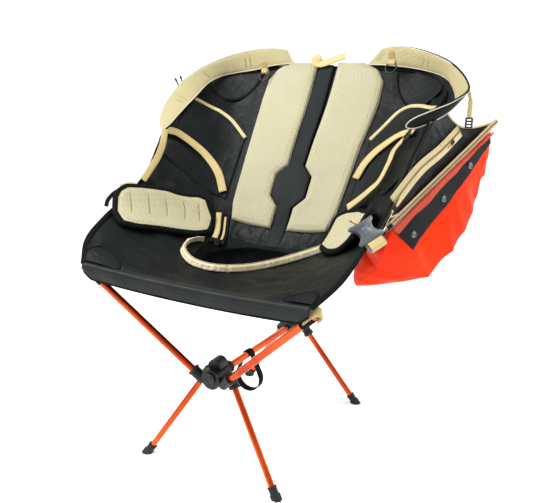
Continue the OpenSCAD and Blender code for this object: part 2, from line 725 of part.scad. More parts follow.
// Outer face of the bag: s down from the ridge, t along it, h above it
function bag_out(t) =
    let (a = bag_corner(0, t), n = unit(cross(ridge_dir, bag_corner(1, t) - a)))
    n * (bag_middle(t) - a) > 0 ? -n : n;
function bag_face(s, t, h = 0) =
    let (p = mix(bag_corner(0, t), bag_corner(1, t), s))
    p + (p - bag_middle(t)) * 0.1 * sin(180 * s) + h * bag_out(t);

module bag_band(s0, s1, t0, t1, h, thick) {
    g = [for (i = span(12)) [for (j = span(4)) [mix(s0, s1, j), mix(t0, t1, i)]]];
    grid_solid([for (r = g) [for (q = r) bag_face(q[0], q[1], h)]],
               [for (r = g) [for (q = r) bag_face(q[0], q[1], h + thick)]]);
}

module snap_strip() color([0.12, 0.12, 0.13]) placed() bag_band(0.19, 0.4, 0, 0.9, 1.5, 2);
module bag_welt() color([0.93, 0.45, 0.35]) placed() bag_band(0.02, 0.17, 0, 0.98, 1.5, 2);

module snap_at(t) {
    p = bag_face(0.29, t, 3.9);
    along(p, p + bag_out(t)) difference() {
        cylinder(r = 6, h = 2);
        translate([0, 0, 1]) cylinder(r = 3, h = 2);
    }
}

module snap_fasteners() color([0.25, 0.25, 0.26]) placed() for (t = [0.07, 0.38, 0.7]) snap_at(t);

// Main zip along the ridge
zip_side = unit(cross(ridge_dir, [0, 0, 1]));
zip_up = cross(zip_side, ridge_dir);
module main_zip() color(sand) placed()
    band([for (k = span(1)) ridge(k) + zip_up * 8], [zip_up, zip_up], 9, 3);

module zip_pull(length) {
    difference() {
        translate([-3.5, -3, 0]) cube([7, 12, 3.5]);
        translate([-1.5, -4, 1.2]) cube([3, 5, 1.2]);
    }
    translate([-2, -length, 1]) cube([4, length - 2, 1.6]);
}

// Local axes of the bag's ridge: Y along it, Z outwards
module on_ridge(t, h, out) {
    p = ridge(t) + zip_up * h + zip_side * out;
    on_axes(p, zip_up, ridge_dir, zip_side) children();
}

module main_zip_slider() color([0.07, 0.07, 0.07]) placed() on_ridge(0.02, 8, 2.2) zip_pull(24);

// Short zip across the side panel
zip_a = off_gusset(0.1, 0.12, 4.2);
zip_b = off_gusset(0.56, 0.82, 4.2);
pocket_zip_dir = unit(zip_b - zip_a);
gusset_face = gusset_normal(0.33, 0.47);
pocket_zip_n = unit(gusset_face - pocket_zip_dir * (gusset_face * pocket_zip_dir));
pocket_zip_side = cross(pocket_zip_dir, pocket_zip_n);

module pocket_zip() color(sand) placed()
    band([zip_a, zip_b] + [pocket_zip_n, pocket_zip_n] * 2, [pocket_zip_side, pocket_zip_side], 20, 2);

module pocket_zip_slider() color([0.07, 0.07, 0.07]) placed() {
    p = mix(zip_a, zip_b, 0.94) + pocket_zip_n * 3.4;
    on_axes(p, pocket_zip_side, pocket_zip_dir, pocket_zip_n) zip_pull(16);
}

// Slotted clip that hangs from the outer edge of the right-hand strap
clip_top = [362, 205, 708];
module hanging_clip() color([0.08, 0.08, 0.08]) placed() translate(clip_top) difference() {
    union() {
        translate([-2, -4, -34]) cube([4, 8, 36]);
        translate([-2, -6, -50]) cube([4, 12, 18]);
    }
    translate([-3, -2, -3]) cube([6, 4, 3]);
    for (z = [-38, -46]) translate([-3, -3, z]) cube([6, 6, 3]);
}

// ---------------------------------------------------------------- drawing

front_hub();
rear_hub();
hub_rivets();
centre_tube();
front_left_pole();
front_right_pole();
back_left_lower_pole();
back_right_lower_pole();
back_left_upper_pole();
back_right_upper_pole();
pole_ferrules();
pole_tip_caps();
front_left_leg();
front_right_leg();
rear_left_leg();
rear_right_leg();
front_left_foot();
front_right_foot();
rear_left_foot();
rear_right_foot();
shock_cords();
tie_loop();
seat_panel();
front_hem();
left_side_panel();
right_side_panel();
back_panel();
storage_pocket();
pocket_zip_lip();
left_back_pad();
right_back_pad();
centre_strip();
grab_handle();
left_shoulder_strap();
right_shoulder_strap();
left_hip_wing();
right_hip_wing();
hip_buckle();
front_pole_sleeves();
back_pole_sleeves();
sleeve_patches();
left_stash_pocket();
right_stash_pocket();
left_webbing();
right_webbing();
right_loose_webbing();
strap_adjusters();
ring_tabs();
left_gear_ring();
right_gear_ring();
side_gusset();
gear_bag();
snap_strip();
snap_fasteners();
bag_welt();
main_zip();
main_zip_slider();
pocket_zip();
pocket_zip_slider();
hanging_clip();
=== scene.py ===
"""Looks of the ultralight backpacking chair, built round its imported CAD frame."""

import math

import bpy
import numpy as np
from mathutils import Matrix, Vector, noise


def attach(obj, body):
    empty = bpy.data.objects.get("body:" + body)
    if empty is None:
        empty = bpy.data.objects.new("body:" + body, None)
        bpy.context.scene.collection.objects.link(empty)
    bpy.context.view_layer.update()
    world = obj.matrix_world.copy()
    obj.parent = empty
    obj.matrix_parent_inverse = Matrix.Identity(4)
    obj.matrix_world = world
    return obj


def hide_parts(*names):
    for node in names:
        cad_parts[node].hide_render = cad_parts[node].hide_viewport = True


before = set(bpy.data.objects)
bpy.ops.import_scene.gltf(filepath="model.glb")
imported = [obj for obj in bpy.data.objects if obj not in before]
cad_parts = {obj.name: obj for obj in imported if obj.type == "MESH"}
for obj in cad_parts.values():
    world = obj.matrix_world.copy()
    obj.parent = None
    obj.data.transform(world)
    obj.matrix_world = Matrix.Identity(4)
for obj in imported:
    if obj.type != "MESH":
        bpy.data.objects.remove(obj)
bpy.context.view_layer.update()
scene = bpy.context.scene

# ------------------------------------------------------------------ camera


def look_from(azimuth, elevation, distance, target, roll, lens):
    az, el, ro = (math.radians(x) for x in (azimuth, elevation, roll))
    back = Vector((math.sin(az) * math.cos(el), -math.cos(az) * math.cos(el), math.sin(el)))
    right = Vector((math.cos(az), math.sin(az), 0))
    up = back.cross(right)
    across = right * math.cos(ro) + up * math.sin(ro)
    above = up * math.cos(ro) - right * math.sin(ro)
    data = bpy.data.cameras.new("camera")
    data.lens = lens
    data.sensor_width = 36
    data.clip_end = 300
    ob = bpy.data.objects.new("camera", data)
    scene.collection.objects.link(ob)
    turn = Matrix((across, above, back)).transposed().to_4x4()
    ob.matrix_world = Matrix.Translation(Vector(target) + back * distance) @ turn
    scene.camera = ob


look_from(30.354, 17.196, 1.406, (-0.0277, -0.0126, 0.398), -0.82, 44.4)

# ---------------------------------------------------------------- geometry
# Shapes are worked out in mm in the chair's own axes, as in the CAD source.

MIDDLE = np.array([27.7, 49.6, 0.0])


def unit(v):
    v = np.asarray(v, float)
    return v / np.maximum(np.linalg.norm(v, axis=-1, keepdims=True), 1e-12)


def mix(a, b, t):
    return a + (b - a) * t


def smooth(t):
    t = np.clip(t, 0, 1)
    return t * t * (3 - 2 * t)


def curve(rows, t):
    """Catmull-Rom curve through rows, t from 0 to 1 over the whole list."""
    rows = np.asarray(rows, float)
    n = len(rows) - 1
    ends = np.vstack([2 * rows[0] - rows[1], rows, 2 * rows[-1] - rows[-2]])
    s = np.clip(np.asarray(t, float), 0, 1) * n
    k = np.minimum(np.floor(s).astype(int), n - 1)
    f = (s - k)[..., None]
    a, b, c, d = (ends[k + i] for i in range(4))
    return 0.5 * (
        2 * b + (c - a) * f + (2 * a - 5 * b + 4 * c - d) * f * f
        + (3 * b - 3 * c + d - a) * f ** 3
    )


def lookup(x, rows):
    rows = np.asarray(rows, float)
    return np.interp(x, rows[:, 0], rows[:, 1])


def even(rows, spacing, count=None):
    """The curve through rows again, as points an even distance apart."""
    fine = curve(rows, np.linspace(0, 1, 40 * len(rows)))
    s = np.concatenate([[0], np.cumsum(np.linalg.norm(np.diff(fine[:, :3], axis=0), axis=1))])
    n = count or max(2, int(round(s[-1] / spacing)) + 1)
    at = np.linspace(0, s[-1], n)
    return np.stack([np.interp(at, s, fine[:, i]) for i in range(fine.shape[1])], 1)


# Sling rows from the front hem to the top of the back: centre y and z,
# half width, edge y and z, and the power of the sag between them
SLING = [
    [-250, 410, 250, -250, 418, 2],
    [-200, 403, 279, -205, 452, 2],
    [-130, 393, 287, -142, 483, 2],
    [-40, 384, 289, -75, 510, 2.2],
    [40, 396, 290, -15, 542, 2.5],
    [88, 436, 294, 30, 578, 2.8],
    [147, 519, 302, 85, 638, 3.5],
    [205, 600, 308, 135, 680, 4.5],
    [277, 688, 311, 205, 712, 6],
    [330, 768, 304, 262, 730, 6],
]
MOUTH_U = 0.45
BACK_START = 0.47
PAD_START = 0.55
LIP = [
    [-0.45, 0.36], [-0.41, 0.3], [-0.34, 0.265], [-0.22, 0.24], [-0.06, 0.27],
    [0.06, 0.315], [0.23, 0.37], [0.33, 0.41], [0.45, 0.455],
]
PAD_IN = [[0.55, 0.068], [0.612, 0.068], [0.637, 0.145], [0.694, 0.145], [0.722, 0.068], [1, 0.085]]
PAD_OUT = [[0.55, 0.4], [0.6, 0.435], [0.78, 0.45], [0.89, 0.475], [0.95, 0.475], [0.98, 0.42], [1, 0.29]]
STRIP_EDGE = [[0.47, 0.058], [0.612, 0.058], [0.637, 0.135], [0.694, 0.135], [0.722, 0.058], [1, 0.058]]


def sling(u, v):
    u, v = np.broadcast_arrays(np.asarray(u, float), np.asarray(v, float))
    r = curve(SLING, v)
    w = np.abs(u) ** r[..., 5]
    return np.stack([r[..., 2] * u, mix(r[..., 0], r[..., 3], w), mix(r[..., 1], r[..., 4], w)], -1)


def sling_normal(u, v):
    d = 0.004
    v = np.clip(v, d, 1 - d)
    return unit(np.cross(sling(u + d, v) - sling(u - d, v), sling(u, v + d) - sling(u, v - d)))


def lifted(u, v, h):
    return sling(u, v) + np.asarray(h, float)[..., None] * sling_normal(u, v)


def ripple(x, y, seed):
    """Smooth noise from -1 to 1 over x and y."""
    x, y = np.broadcast_arrays(x, y)
    flat = [noise.noise(Vector((a, b, seed * 7.31))) for a, b in zip(x.ravel(), y.ravel())]
    return np.array(flat).reshape(x.shape)


def folds(x, y, seed):
    """Sharp-topped folds, from 0 to 1."""
    return 1 - np.abs(ripple(x, y, seed)) * 2


def grid_faces(rows, cols, keep=None, wrap=False):
    i, j = np.meshgrid(np.arange(rows - 1), np.arange(cols if wrap else cols - 1), indexing="ij")
    k = (j + 1) % cols
    quads = np.stack([i * cols + j, i * cols + k, (i + 1) * cols + k, (i + 1) * cols + j], -1)
    return quads[keep] if keep is not None else quads.reshape(-1, 4)


def arc_uv(grid):
    """Distances in mm across and along a grid of points, for its weave."""
    x = np.zeros(grid.shape[:2])
    x[:, 1:] = np.cumsum(np.linalg.norm(np.diff(grid, axis=1), axis=-1), axis=1)
    x -= x[:, x.shape[1] // 2][:, None]
    y = np.zeros(grid.shape[:2])
    y[1:] = np.cumsum(np.linalg.norm(np.diff(grid, axis=0), axis=-1), axis=0)
    return np.stack([x, y], -1)


def piece(name, points, faces, mats, body="frame", slot=None, uv=None, which=None, flat=False):
    mesh = bpy.data.meshes.new(name)
    p = (np.asarray(points, float).reshape(-1, 3) - MIDDLE) / 1000
    mesh.from_pydata(p.tolist(), [], [[int(i) for i in f] for f in faces])
    if uv is not None:
        loops = np.zeros(len(mesh.loops), int)
        mesh.loops.foreach_get("vertex_index", loops)
        at = np.asarray(uv, np.float32).reshape(-1, 2)[loops]
        mesh.uv_layers.new(name="weave").data.foreach_set("uv", at.ravel())
    for m in mats if isinstance(mats, (list, tuple)) else [mats]:
        mesh.materials.append(m)
    if which is not None:
        mesh.polygons.foreach_set("material_index", np.asarray(which, np.int32))
    mesh.polygons.foreach_set("use_smooth", [not flat] * len(mesh.polygons))
    mesh.update()
    ob = bpy.data.objects.new(name, mesh)
    scene.collection.objects.link(ob)
    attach(ob, body)
    return ob


def thicken(ob, mm, offset=-1.0):
    m = ob.modifiers.new("thickness", "SOLIDIFY")
    m.thickness = mm / 1000
    m.offset = offset
    return ob


def cloth(name, grid, mat, thick=1.2, keep=None, uv=None, **more):
    rows, cols = grid.shape[:2]
    ob = piece(name, grid, grid_faces(rows, cols, keep), mat, uv=arc_uv(grid) if uv is None else uv, **more)
    return thicken(ob, thick)


class Build:
    """Several shapes gathered into one mesh."""

    def __init__(self):
        self.points, self.faces, self.uv, self.which, self.n = [], [], [], [], 0

    def add(self, points, faces, uv=None, slot=0):
        points = np.asarray(points, float).reshape(-1, 3)
        self.points.append(points)
        self.uv.append(points[:, :2] if uv is None else np.asarray(uv, float).reshape(-1, 2))
        self.faces += [[int(i) + self.n for i in f] for f in faces]
        self.which += [slot] * len(faces)
        self.n += len(points)
        return self

    def make(self, name, mats, **more):
        return piece(name, np.vstack(self.points), self.faces, mats, uv=np.vstack(self.uv),
                     which=self.which, **more)


def frames(path, face, closed=False):
    """Tangent, side and face directions along a path; face is a hint."""
    path = np.asarray(path, float)
    if closed:
        tangent = unit(np.roll(path, -1, 0) - np.roll(path, 1, 0))
    else:
        tangent = unit(np.gradient(path, axis=0))
    side = unit(np.cross(tangent, np.broadcast_to(face, path.shape)))
    return tangent, side, np.cross(side, tangent)


def sweep(build, path, face, section, closed=False, slot=0, grow=None):
    """Sweeps a closed section of [across, out] in mm along a path."""
    path = np.asarray(path, float)
    _, side, out = frames(path, face, closed)
    section = np.asarray(section, float)
    size = np.ones(len(path)) if grow is None else np.asarray(grow, float)
    across = section[None, :, 0, None] * size[:, None, None]
    rise = section[None, :, 1, None] * size[:, None, None]
    points = path[:, None] + side[:, None] * across + out[:, None] * rise
    n, m = len(path), len(section)
    length = np.concatenate([[0], np.cumsum(np.linalg.norm(np.diff(path, axis=0), axis=1))])
    uv = np.stack(np.broadcast_arrays(section[None, :, 0], length[:, None]), -1)
    if closed:
        faces = [
            [i * m + j, i * m + (j + 1) % m, ((i + 1) % n) * m + (j + 1) % m, ((i + 1) % n) * m + j]
            for i in range(n) for j in range(m)
        ]
    else:
        faces = grid_faces(n, m, wrap=True).tolist()
        faces += [list(range(m))[::-1], [(n - 1) * m + j for j in range(m)]]
    return build.add(points, faces, uv, slot)


def webbing_section(width, thick):
    w, t = width / 2, thick / 2
    half = [[-w, -0.3 * t], [-0.94 * w, -t], [-0.4 * w, -t], [0.4 * w, -t], [0.94 * w, -t], [w, -0.3 * t]]
    return half + [[-x, -y] for x, y in half]


def round_section(radius, sides=10, flat=1.0):
    a = np.linspace(0, 2 * math.pi, sides, endpoint=False)
    return np.stack([radius * np.cos(a), radius * flat * np.sin(a)], 1)


def ribbon(build, path, face, width, thick, slot=0, closed=False, grow=None):
    return sweep(build, path, face, webbing_section(width, thick), closed, slot, grow)


def cord(build, path, radius, slot=0, closed=False, face=(0.13, 0.21, 0.97), sides=10):
    return sweep(build, path, face, round_section(radius, sides), closed, slot)


def stitches(build, path, face, pitch=3.4, length=2.4, width=0.6, rise=0.45, slot=0):
    """A row of short raised threads along a path."""
    path = np.asarray(path, float)
    hint = np.broadcast_to(face, path.shape)
    both = even(np.hstack([path, hint]), pitch)
    c, n = both[:, :3], unit(both[:, 3:])
    t, s, n = frames(c, n)
    offs = [
        -t * length / 2, t * length / 2, -s * width / 2 + n * rise * 0.4,
        s * width / 2 + n * rise * 0.4, n * rise, -n * 0.3,
    ]
    points = c[:, None] + np.stack(offs, 1)
    one = [[0, 2, 4], [0, 4, 3], [0, 3, 5], [0, 5, 2], [1, 4, 2], [1, 3, 4], [1, 5, 3], [1, 2, 5]]
    faces = [[6 * k + i for i in f] for k in range(len(c)) for f in one]
    return build.add(points, faces, None, slot)


def brick(build, centre, axes, size, bevel=0.6, slot=0, taper=1.0):
    """A box with its edges cut at 45 degrees, on three given axes."""
    h = np.asarray(size, float) / 2
    b = min(bevel, 0.45 * min(size))
    points, index = [], {}
    for sx in (-1, 1):
        for sy in (-1, 1):
            for sz in (-1, 1):
                for k in range(3):
                    q = np.array([sx, sy, sz]) * (h - b)
                    q[k] += b * (sx, sy, sz)[k]
                    if sz > 0:
                        q[:2] *= taper
                    index[sx, sy, sz, k] = len(points)
                    points.append(q)
    faces = []
    for k in range(3):
        o = [i for i in range(3) if i != k]
        for s in (-1, 1):
            ring = []
            for a, c in ((-1, -1), (1, -1), (1, 1), (-1, 1)):
                v = [0, 0, 0]
                v[k], v[o[0]], v[o[1]] = s, a, c
                ring.append(index[v[0], v[1], v[2], k])
            faces.append(ring)
        for a in (-1, 1):
            for c in (-1, 1):
                ends = []
                for s in (-1, 1):
                    v = [0, 0, 0]
                    v[k], v[o[0]], v[o[1]] = s, a, c
                    ends.append((index[v[0], v[1], v[2], o[0]], index[v[0], v[1], v[2], o[1]]))
                faces.append([ends[0][0], ends[0][1], ends[1][1], ends[1][0]])
    for sx in (-1, 1):
        for sy in (-1, 1):
            for sz in (-1, 1):
                faces.append([index[sx, sy, sz, k] for k in range(3)])
    points = np.array(points)
    fixed = []
    for f in faces:
        p = points[f]
        normal = np.cross(p[1] - p[0], p[2] - p[0])
        fixed.append(f if normal @ p.mean(0) > 0 else f[::-1])
    axes = np.asarray(axes, float)
    return build.add(np.asarray(centre, float) + points @ axes, fixed, None, slot)


def lathe(build, base, axis, profile, sides=24, slot=0):
    """Turns a profile of [radius, height] round an axis."""
    axis = unit(axis)
    x = unit(np.cross(axis, [0.31, 0.52, 0.79]))
    y = np.cross(axis, x)
    a = np.linspace(0, 2 * math.pi, sides, endpoint=False)
    ring = np.cos(a)[:, None] * x + np.sin(a)[:, None] * y
    points = np.concatenate([base + ring * r + axis * h for r, h in profile])
    n = len(profile)
    faces = grid_faces(n, sides, wrap=True).tolist()
    faces += [list(range(sides))[::-1], [(n - 1) * sides + j for j in range(sides)]]
    return build.add(points, faces, None, slot)


# --------------------------------------------------------------- materials


def linear(*rgb):
    return tuple(((c / 255 + 0.055) / 1.055) ** 2.4 if c > 10 else c / 255 / 12.92 for c in rgb) + (1.0,)


class Finish:
    """A node material: colour, weave or grain, and roughness."""

    def __init__(self, name, rough, metal=0.0, **sockets):
        self.material = bpy.data.materials.new(name)
        self.material.use_nodes = True
        self.tree = self.material.node_tree
        self.tree.nodes.clear()
        out = self.tree.nodes.new("ShaderNodeOutputMaterial")
        self.shader = self.tree.nodes.new("ShaderNodeBsdfPrincipled")
        self.tree.links.new(self.shader.outputs[0], out.inputs[0])
        self.shader.inputs["Roughness"].default_value = rough
        self.shader.inputs["Metallic"].default_value = metal
        for key, value in sockets.items():
            self.shader.inputs[key.replace("_", " ")].default_value = value
        self.normal = None
        self.seed = float(len(bpy.data.materials))

    def put(self, socket, value):
        if isinstance(value, bpy.types.NodeSocket):
            self.tree.links.new(value, socket)
        else:
            socket.default_value = value

    def node(self, kind, out=0, inputs=(), **settings):
        n = self.tree.nodes.new("ShaderNode" + kind)
        for key, value in settings.items():
            setattr(n, key, value)
        for key, value in dict(inputs).items():
            self.put(n.inputs[key], value)
        return n.outputs[out]

    def math(self, operation, a, b=0.0, c=0.0):
        return self.node("Math", inputs={0: a, 1: b, 2: c}, operation=operation)

    def place(self):
        return self.node("TexCoord", out="Object")

    def noise(self, scale, detail=3.0, rough=0.55, stretch=(1, 1, 1), shift=0.0):
        move = (self.seed * 0.37 + shift, shift * 1.7, 0.0)
        at = self.node("Mapping", inputs={"Vector": self.place(), "Scale": stretch, "Location": move})
        return self.node("TexNoise", inputs={"Vector": at, "Scale": scale, "Detail": detail,
            "Roughness": rough})

    def cloth_xy(self):
        at = self.node("UVMap", uv_map="weave")
        split = self.tree.nodes.new("ShaderNodeSeparateXYZ")
        self.tree.links.new(at, split.inputs[0])
        return split.outputs[0], split.outputs[1]

    def wave(self, value, pitch, phase=0.0):
        turn = self.math("MULTIPLY_ADD", value, 2 * math.pi / pitch, phase)
        return self.math("SINE", turn)

    def spread(self, value, low, high, to_low=0.0, to_high=1.0):
        return self.node("MapRange", inputs={0: value, 1: low, 2: high, 3: to_low, 4: to_high})

    def blend(self, share, a, b):
        n = self.tree.nodes.new("ShaderNodeMix")
        n.data_type = "RGBA"
        self.put(n.inputs[0], share)
        self.put(n.inputs[6], a)
        self.put(n.inputs[7], b)
        return n.outputs[2]

    def colour(self, value):
        self.put(self.shader.inputs["Base Color"], value)

    def rough(self, value):
        self.put(self.shader.inputs["Roughness"], value)

    def bump(self, height, mm, strength=1.0):
        values = {"Height": height, "Distance": mm / 1000, "Strength": strength}
        if self.normal:
            values["Normal"] = self.normal
        self.normal = self.node("Bump", inputs=values)
        self.put(self.shader.inputs["Normal"], self.normal)


def plain_weave(f, pitch):
    x, y = f.cloth_xy()
    return f.spread(f.math("MULTIPLY", f.wave(x, pitch), f.wave(y, pitch)), -1, 1)


def nylon(name, base, light, rough=0.42, spec=0.2, pitch=0.9, weave=0.06, wrinkle=1.6, sheen=0.0,
    ripstop=0.0):
    f = Finish(name, rough, Specular_IOR_Level=spec, Sheen_Weight=sheen, Sheen_Roughness=0.3)
    cloud = f.spread(f.noise(14, 4), 0.35, 0.68)
    thread = plain_weave(f, pitch)
    tone = f.blend(cloud, base, light)
    # painted shade: the valleys between the woven threads are painted darker
    groove_shade = tuple(c * 0.6 for c in base[:3]) + (1.0,)
    f.colour(f.blend(f.math("MULTIPLY", f.math("SUBTRACT", 1.0, thread), 0.35), tone, groove_shade))
    f.rough(f.spread(f.noise(60, 2, shift=3.0), 0.3, 0.7, rough - 0.07, rough + 0.08))
    if ripstop:
        x, y = f.cloth_xy()
        lines = f.math("MAXIMUM", f.wave(x, ripstop), f.wave(y, ripstop))
        f.bump(f.spread(lines, 0.93, 1.0), 0.12)
    f.bump(f.noise(26, 5, 0.6, shift=5.0), wrinkle)
    f.bump(thread, weave)
    return f.material


def air_mesh(name, base, hole_shade, pitch=3.7):
    """Spacer mesh: rows of small round holes set like a honeycomb, the holes painted dark as painted shade.
    """
    f = Finish(name, 0.85, Specular_IOR_Level=0.08)
    x, y = f.cloth_xy()
    k = 2 * math.pi / (pitch * 0.866)
    skew = f.math("MULTIPLY", y, 0.8660254 * k)
    half = f.math("MULTIPLY", x, 0.5 * k)
    a = f.math("COSINE", f.math("MULTIPLY", x, k))
    b = f.math("COSINE", f.math("ADD", half, skew))
    c = f.math("COSINE", f.math("SUBTRACT", half, skew))
    total = f.math("ADD", f.math("ADD", a, b), c)
    open_share = f.spread(total, 0.6, 1.9)
    yarn = plain_weave(f, 0.8)
    cloud = f.spread(f.noise(9, 4), 0.3, 0.7)
    warm = tuple(c * s for c, s in zip(base[:3], (0.95, 0.93, 0.87))) + (1.0,)
    tone = f.blend(cloud, base, warm)
    tone = f.blend(f.math("MULTIPLY", yarn, 0.12), tone, hole_shade)
    # painted shade: the open share of each hole is painted with the darker hole colour
    f.colour(f.blend(open_share, tone, hole_shade))
    f.rough(f.spread(open_share, 0, 1, 0.8, 0.95))
    f.bump(f.noise(22, 3, shift=2.0), 0.9)
    f.bump(f.spread(total, -1.0, 2.2, 1.0, 0.0), 0.9)
    f.bump(yarn, 0.1)
    return f.material


def webbing_finish(name, base, groove_shade, rough=0.75, pitch=1.7, depth=0.28):
    """Narrow woven tape: ribs in a herringbone, varied by fine lanes across it."""
    f = Finish(name, rough, Specular_IOR_Level=0.1)
    x, y = f.cloth_xy()
    slant = f.math("PINGPONG", x, 2.5)
    ribs = f.spread(f.wave(f.math("ADD", y, f.math("MULTIPLY", slant, 0.9)), pitch), -1, 1)
    lanes = f.spread(f.wave(x, 1.1), -1, 1)
    relief = f.math("MULTIPLY", ribs, f.spread(lanes, 0, 1, 0.6, 1.0))
    tone = f.blend(f.spread(f.noise(30, 4), 0.3, 0.7), base, tuple(c * 0.86 for c in base[:3]) + (1.0,))
    # painted shade: the grooves between the ribs are painted towards the darker colour
    f.colour(f.blend(f.spread(relief, 0.0, 0.55, 0.75, 0.0), tone, groove_shade))
    f.rough(f.spread(relief, 0, 1, rough + 0.1, rough - 0.05))
    f.bump(f.noise(40, 3, shift=1.0), 0.35)
    f.bump(relief, depth)
    return f.material


def moulded(name, base, light, rough=0.45, grain=0.05, spec=0.45):
    """Moulded plastic: spark-eroded grain, convex edges painted paler, a painted highlight mixed with rubbed
    wear.
    """
    f = Finish(name, rough, Specular_IOR_Level=spec)
    edge = f.spread(f.node("NewGeometry", out="Pointiness"), 0.52, 0.6)
    # painted highlight and rubbed wear: convex edges found by pointiness are painted towards the light colour
    # in noisy patches
    edge_highlight_and_rub = f.math("MULTIPLY", edge, f.spread(f.noise(120, 4), 0.35, 0.65))
    tone = f.blend(f.spread(f.noise(25, 3), 0.3, 0.7), base, tuple(c * 0.75 for c in base[:3]) + (1.0,))
    f.colour(f.blend(f.math("MULTIPLY", edge_highlight_and_rub, 0.6), tone, light))
    f.rough(f.spread(f.noise(90, 4, shift=2.0), 0.3, 0.7, rough - 0.06, rough + 0.1))
    f.bump(f.noise(1500, 2, shift=4.0), grain)
    f.bump(f.noise(70, 2, shift=6.0), 0.12)
    return f.material


def anodised(name, base, deep, rough=0.2):
    """Anodised tube: slight tone drift, fine scuffs, a faint fine grain."""
    f = Finish(name, rough, metal=0.92)
    drift = f.spread(f.noise(7, 3), 0.3, 0.7)
    scuff = f.spread(f.noise(160, 5, 0.7, shift=3.0), 0.66, 0.74)
    tone = f.blend(drift, base, deep)
    f.colour(f.blend(f.math("MULTIPLY", scuff, 0.35), tone, linear(255, 170, 120)))
    f.rough(f.spread(f.noise(220, 3, shift=1.0), 0.3, 0.7, rough - 0.05, rough + 0.08))
    f.bump(f.noise(900, 2, shift=2.0), 0.012)
    return f.material


def coated(name, base, light, rough=0.3):
    """Coated bag cloth: a fine ripstop under a glossy skin, with soft dents."""
    f = Finish(name, rough, Specular_IOR_Level=0.12)
    x, y = f.cloth_xy()
    grid = f.spread(f.math("MAXIMUM", f.wave(x, 5.0), f.wave(y, 5.0)), 0.9, 1.0)
    cloud = f.spread(f.noise(8, 4), 0.3, 0.7)
    tone = f.blend(cloud, base, light)
    f.colour(f.blend(f.math("MULTIPLY", grid, 0.12), tone, linear(255, 110, 50)))
    f.rough(f.spread(f.noise(18, 4, shift=2.0), 0.3, 0.7, rough - 0.06, rough + 0.14))
    f.bump(f.noise(18, 4, 0.55, shift=4.0), 2.2)
    f.bump(f.noise(70, 3, shift=6.0), 0.35)
    f.bump(grid, 0.06)
    f.bump(plain_weave(f, 0.8), 0.03)
    return f.material


def thread_finish(name, base):
    f = Finish(name, 0.6, Specular_IOR_Level=0.4, Sheen_Weight=0.2)
    twist = f.spread(f.noise(2500, 2), 0.35, 0.65)
    f.colour(f.blend(twist, base, tuple(c * 0.6 for c in base[:3]) + (1.0,)))
    f.bump(twist, 0.1)
    return f.material


def rubber(name, base):
    f = Finish(name, 0.72, Specular_IOR_Level=0.35)
    dust = f.spread(f.noise(45, 5, 0.7), 0.5, 0.72)
    f.colour(f.blend(f.math("MULTIPLY", dust, 0.35), base, linear(96, 98, 98)))
    f.rough(f.spread(dust, 0, 1, 0.66, 0.88))
    f.bump(f.noise(900, 3, shift=2.0), 0.06)
    f.bump(f.noise(60, 2, shift=4.0), 0.15)
    return f.material


def metal(name, base, rough=0.3):
    f = Finish(name, rough, metal=1.0)
    wear = f.spread(f.noise(400, 4), 0.4, 0.7)
    f.colour(f.blend(wear, base, tuple(min(1.0, c * 1.6) for c in base[:3]) + (1.0,)))
    f.rough(f.spread(wear, 0, 1, rough - 0.08, rough + 0.15))
    f.bump(f.noise(1200, 2, shift=2.0), 0.01)
    return f.material


BLACK = linear(19, 22, 23)
BLACK_LIGHT = linear(28, 32, 32)
SAND = linear(240, 220, 158)
# darker sand painted into the webbing's rib grooves as painted shade
SAND_GROOVE_SHADE = linear(176, 150, 98)
black_nylon = nylon("sling_nylon", BLACK, BLACK_LIGHT, rough=0.4, spec=0.12, wrinkle=3.2)
lining_nylon = nylon("lining_nylon", linear(16, 19, 21), linear(24, 28, 30), rough=0.55, spec=0.06,
    weave=0.04)
# painted sheen: the hem's nylon is a lighter copy of the sling's black nylon, standing in for the light it
# catches
hem_nylon_painted_sheen = nylon("hem_nylon_painted_sheen", linear(30, 34, 34), linear(44, 48, 46), rough=0.4, spec=0.16, wrinkle=0.9)
strip_nylon = nylon("strip_nylon", linear(42, 46, 45), linear(50, 54, 53), rough=0.6, spec=0.06, pitch=1.4,
    weave=0.12, wrinkle=0.4)
gusset_nylon = nylon("gusset_nylon", linear(22, 26, 26), linear(34, 38, 37), rough=0.4, spec=0.12,
    wrinkle=1.8)
# the second colour of each webbing finish is painted shade for its rib grooves
black_tape = webbing_finish("black_tape", linear(15, 17, 18), linear(6, 7, 8), 0.7, pitch=1.3, depth=0.2)
black_web = webbing_finish("black_webbing", linear(17, 18, 19), linear(6, 7, 8), 0.7)
sand_web = webbing_finish("sand_webbing", SAND, SAND_GROOVE_SHADE)
sand_tape = webbing_finish("sand_tape", linear(238, 224, 178), linear(188, 164, 116), pitch=1.2, depth=0.16)
lip_tape = nylon("lip_tape", linear(246, 238, 204), linear(222, 206, 160), rough=0.6, pitch=1.0, weave=0.15,
    wrinkle=3.4)
cream_tape = nylon("cream_piping", linear(230, 224, 202), linear(214, 206, 180), rough=0.6, pitch=0.9,
    weave=0.1, wrinkle=0.4)
# the second colour of each mesh is painted shade inside its holes
sand_mesh = air_mesh("sand_mesh", linear(222, 218, 189), linear(140, 126, 84))
wing_mesh = air_mesh("wing_mesh", linear(228, 223, 188), linear(126, 112, 70))
strap_mesh = air_mesh("strap_mesh", linear(215, 206, 162), linear(150, 132, 86), pitch=3.2)
orange_cloth = coated("orange_cloth", linear(255, 44, 4), linear(255, 62, 10))
coral_cloth = nylon("coral_cloth", linear(232, 96, 66), linear(214, 74, 46), rough=0.6, pitch=1.3,
    weave=0.15, wrinkle=0.8)
tube_finish = anodised("orange_anodised", linear(232, 98, 40), linear(176, 52, 14))
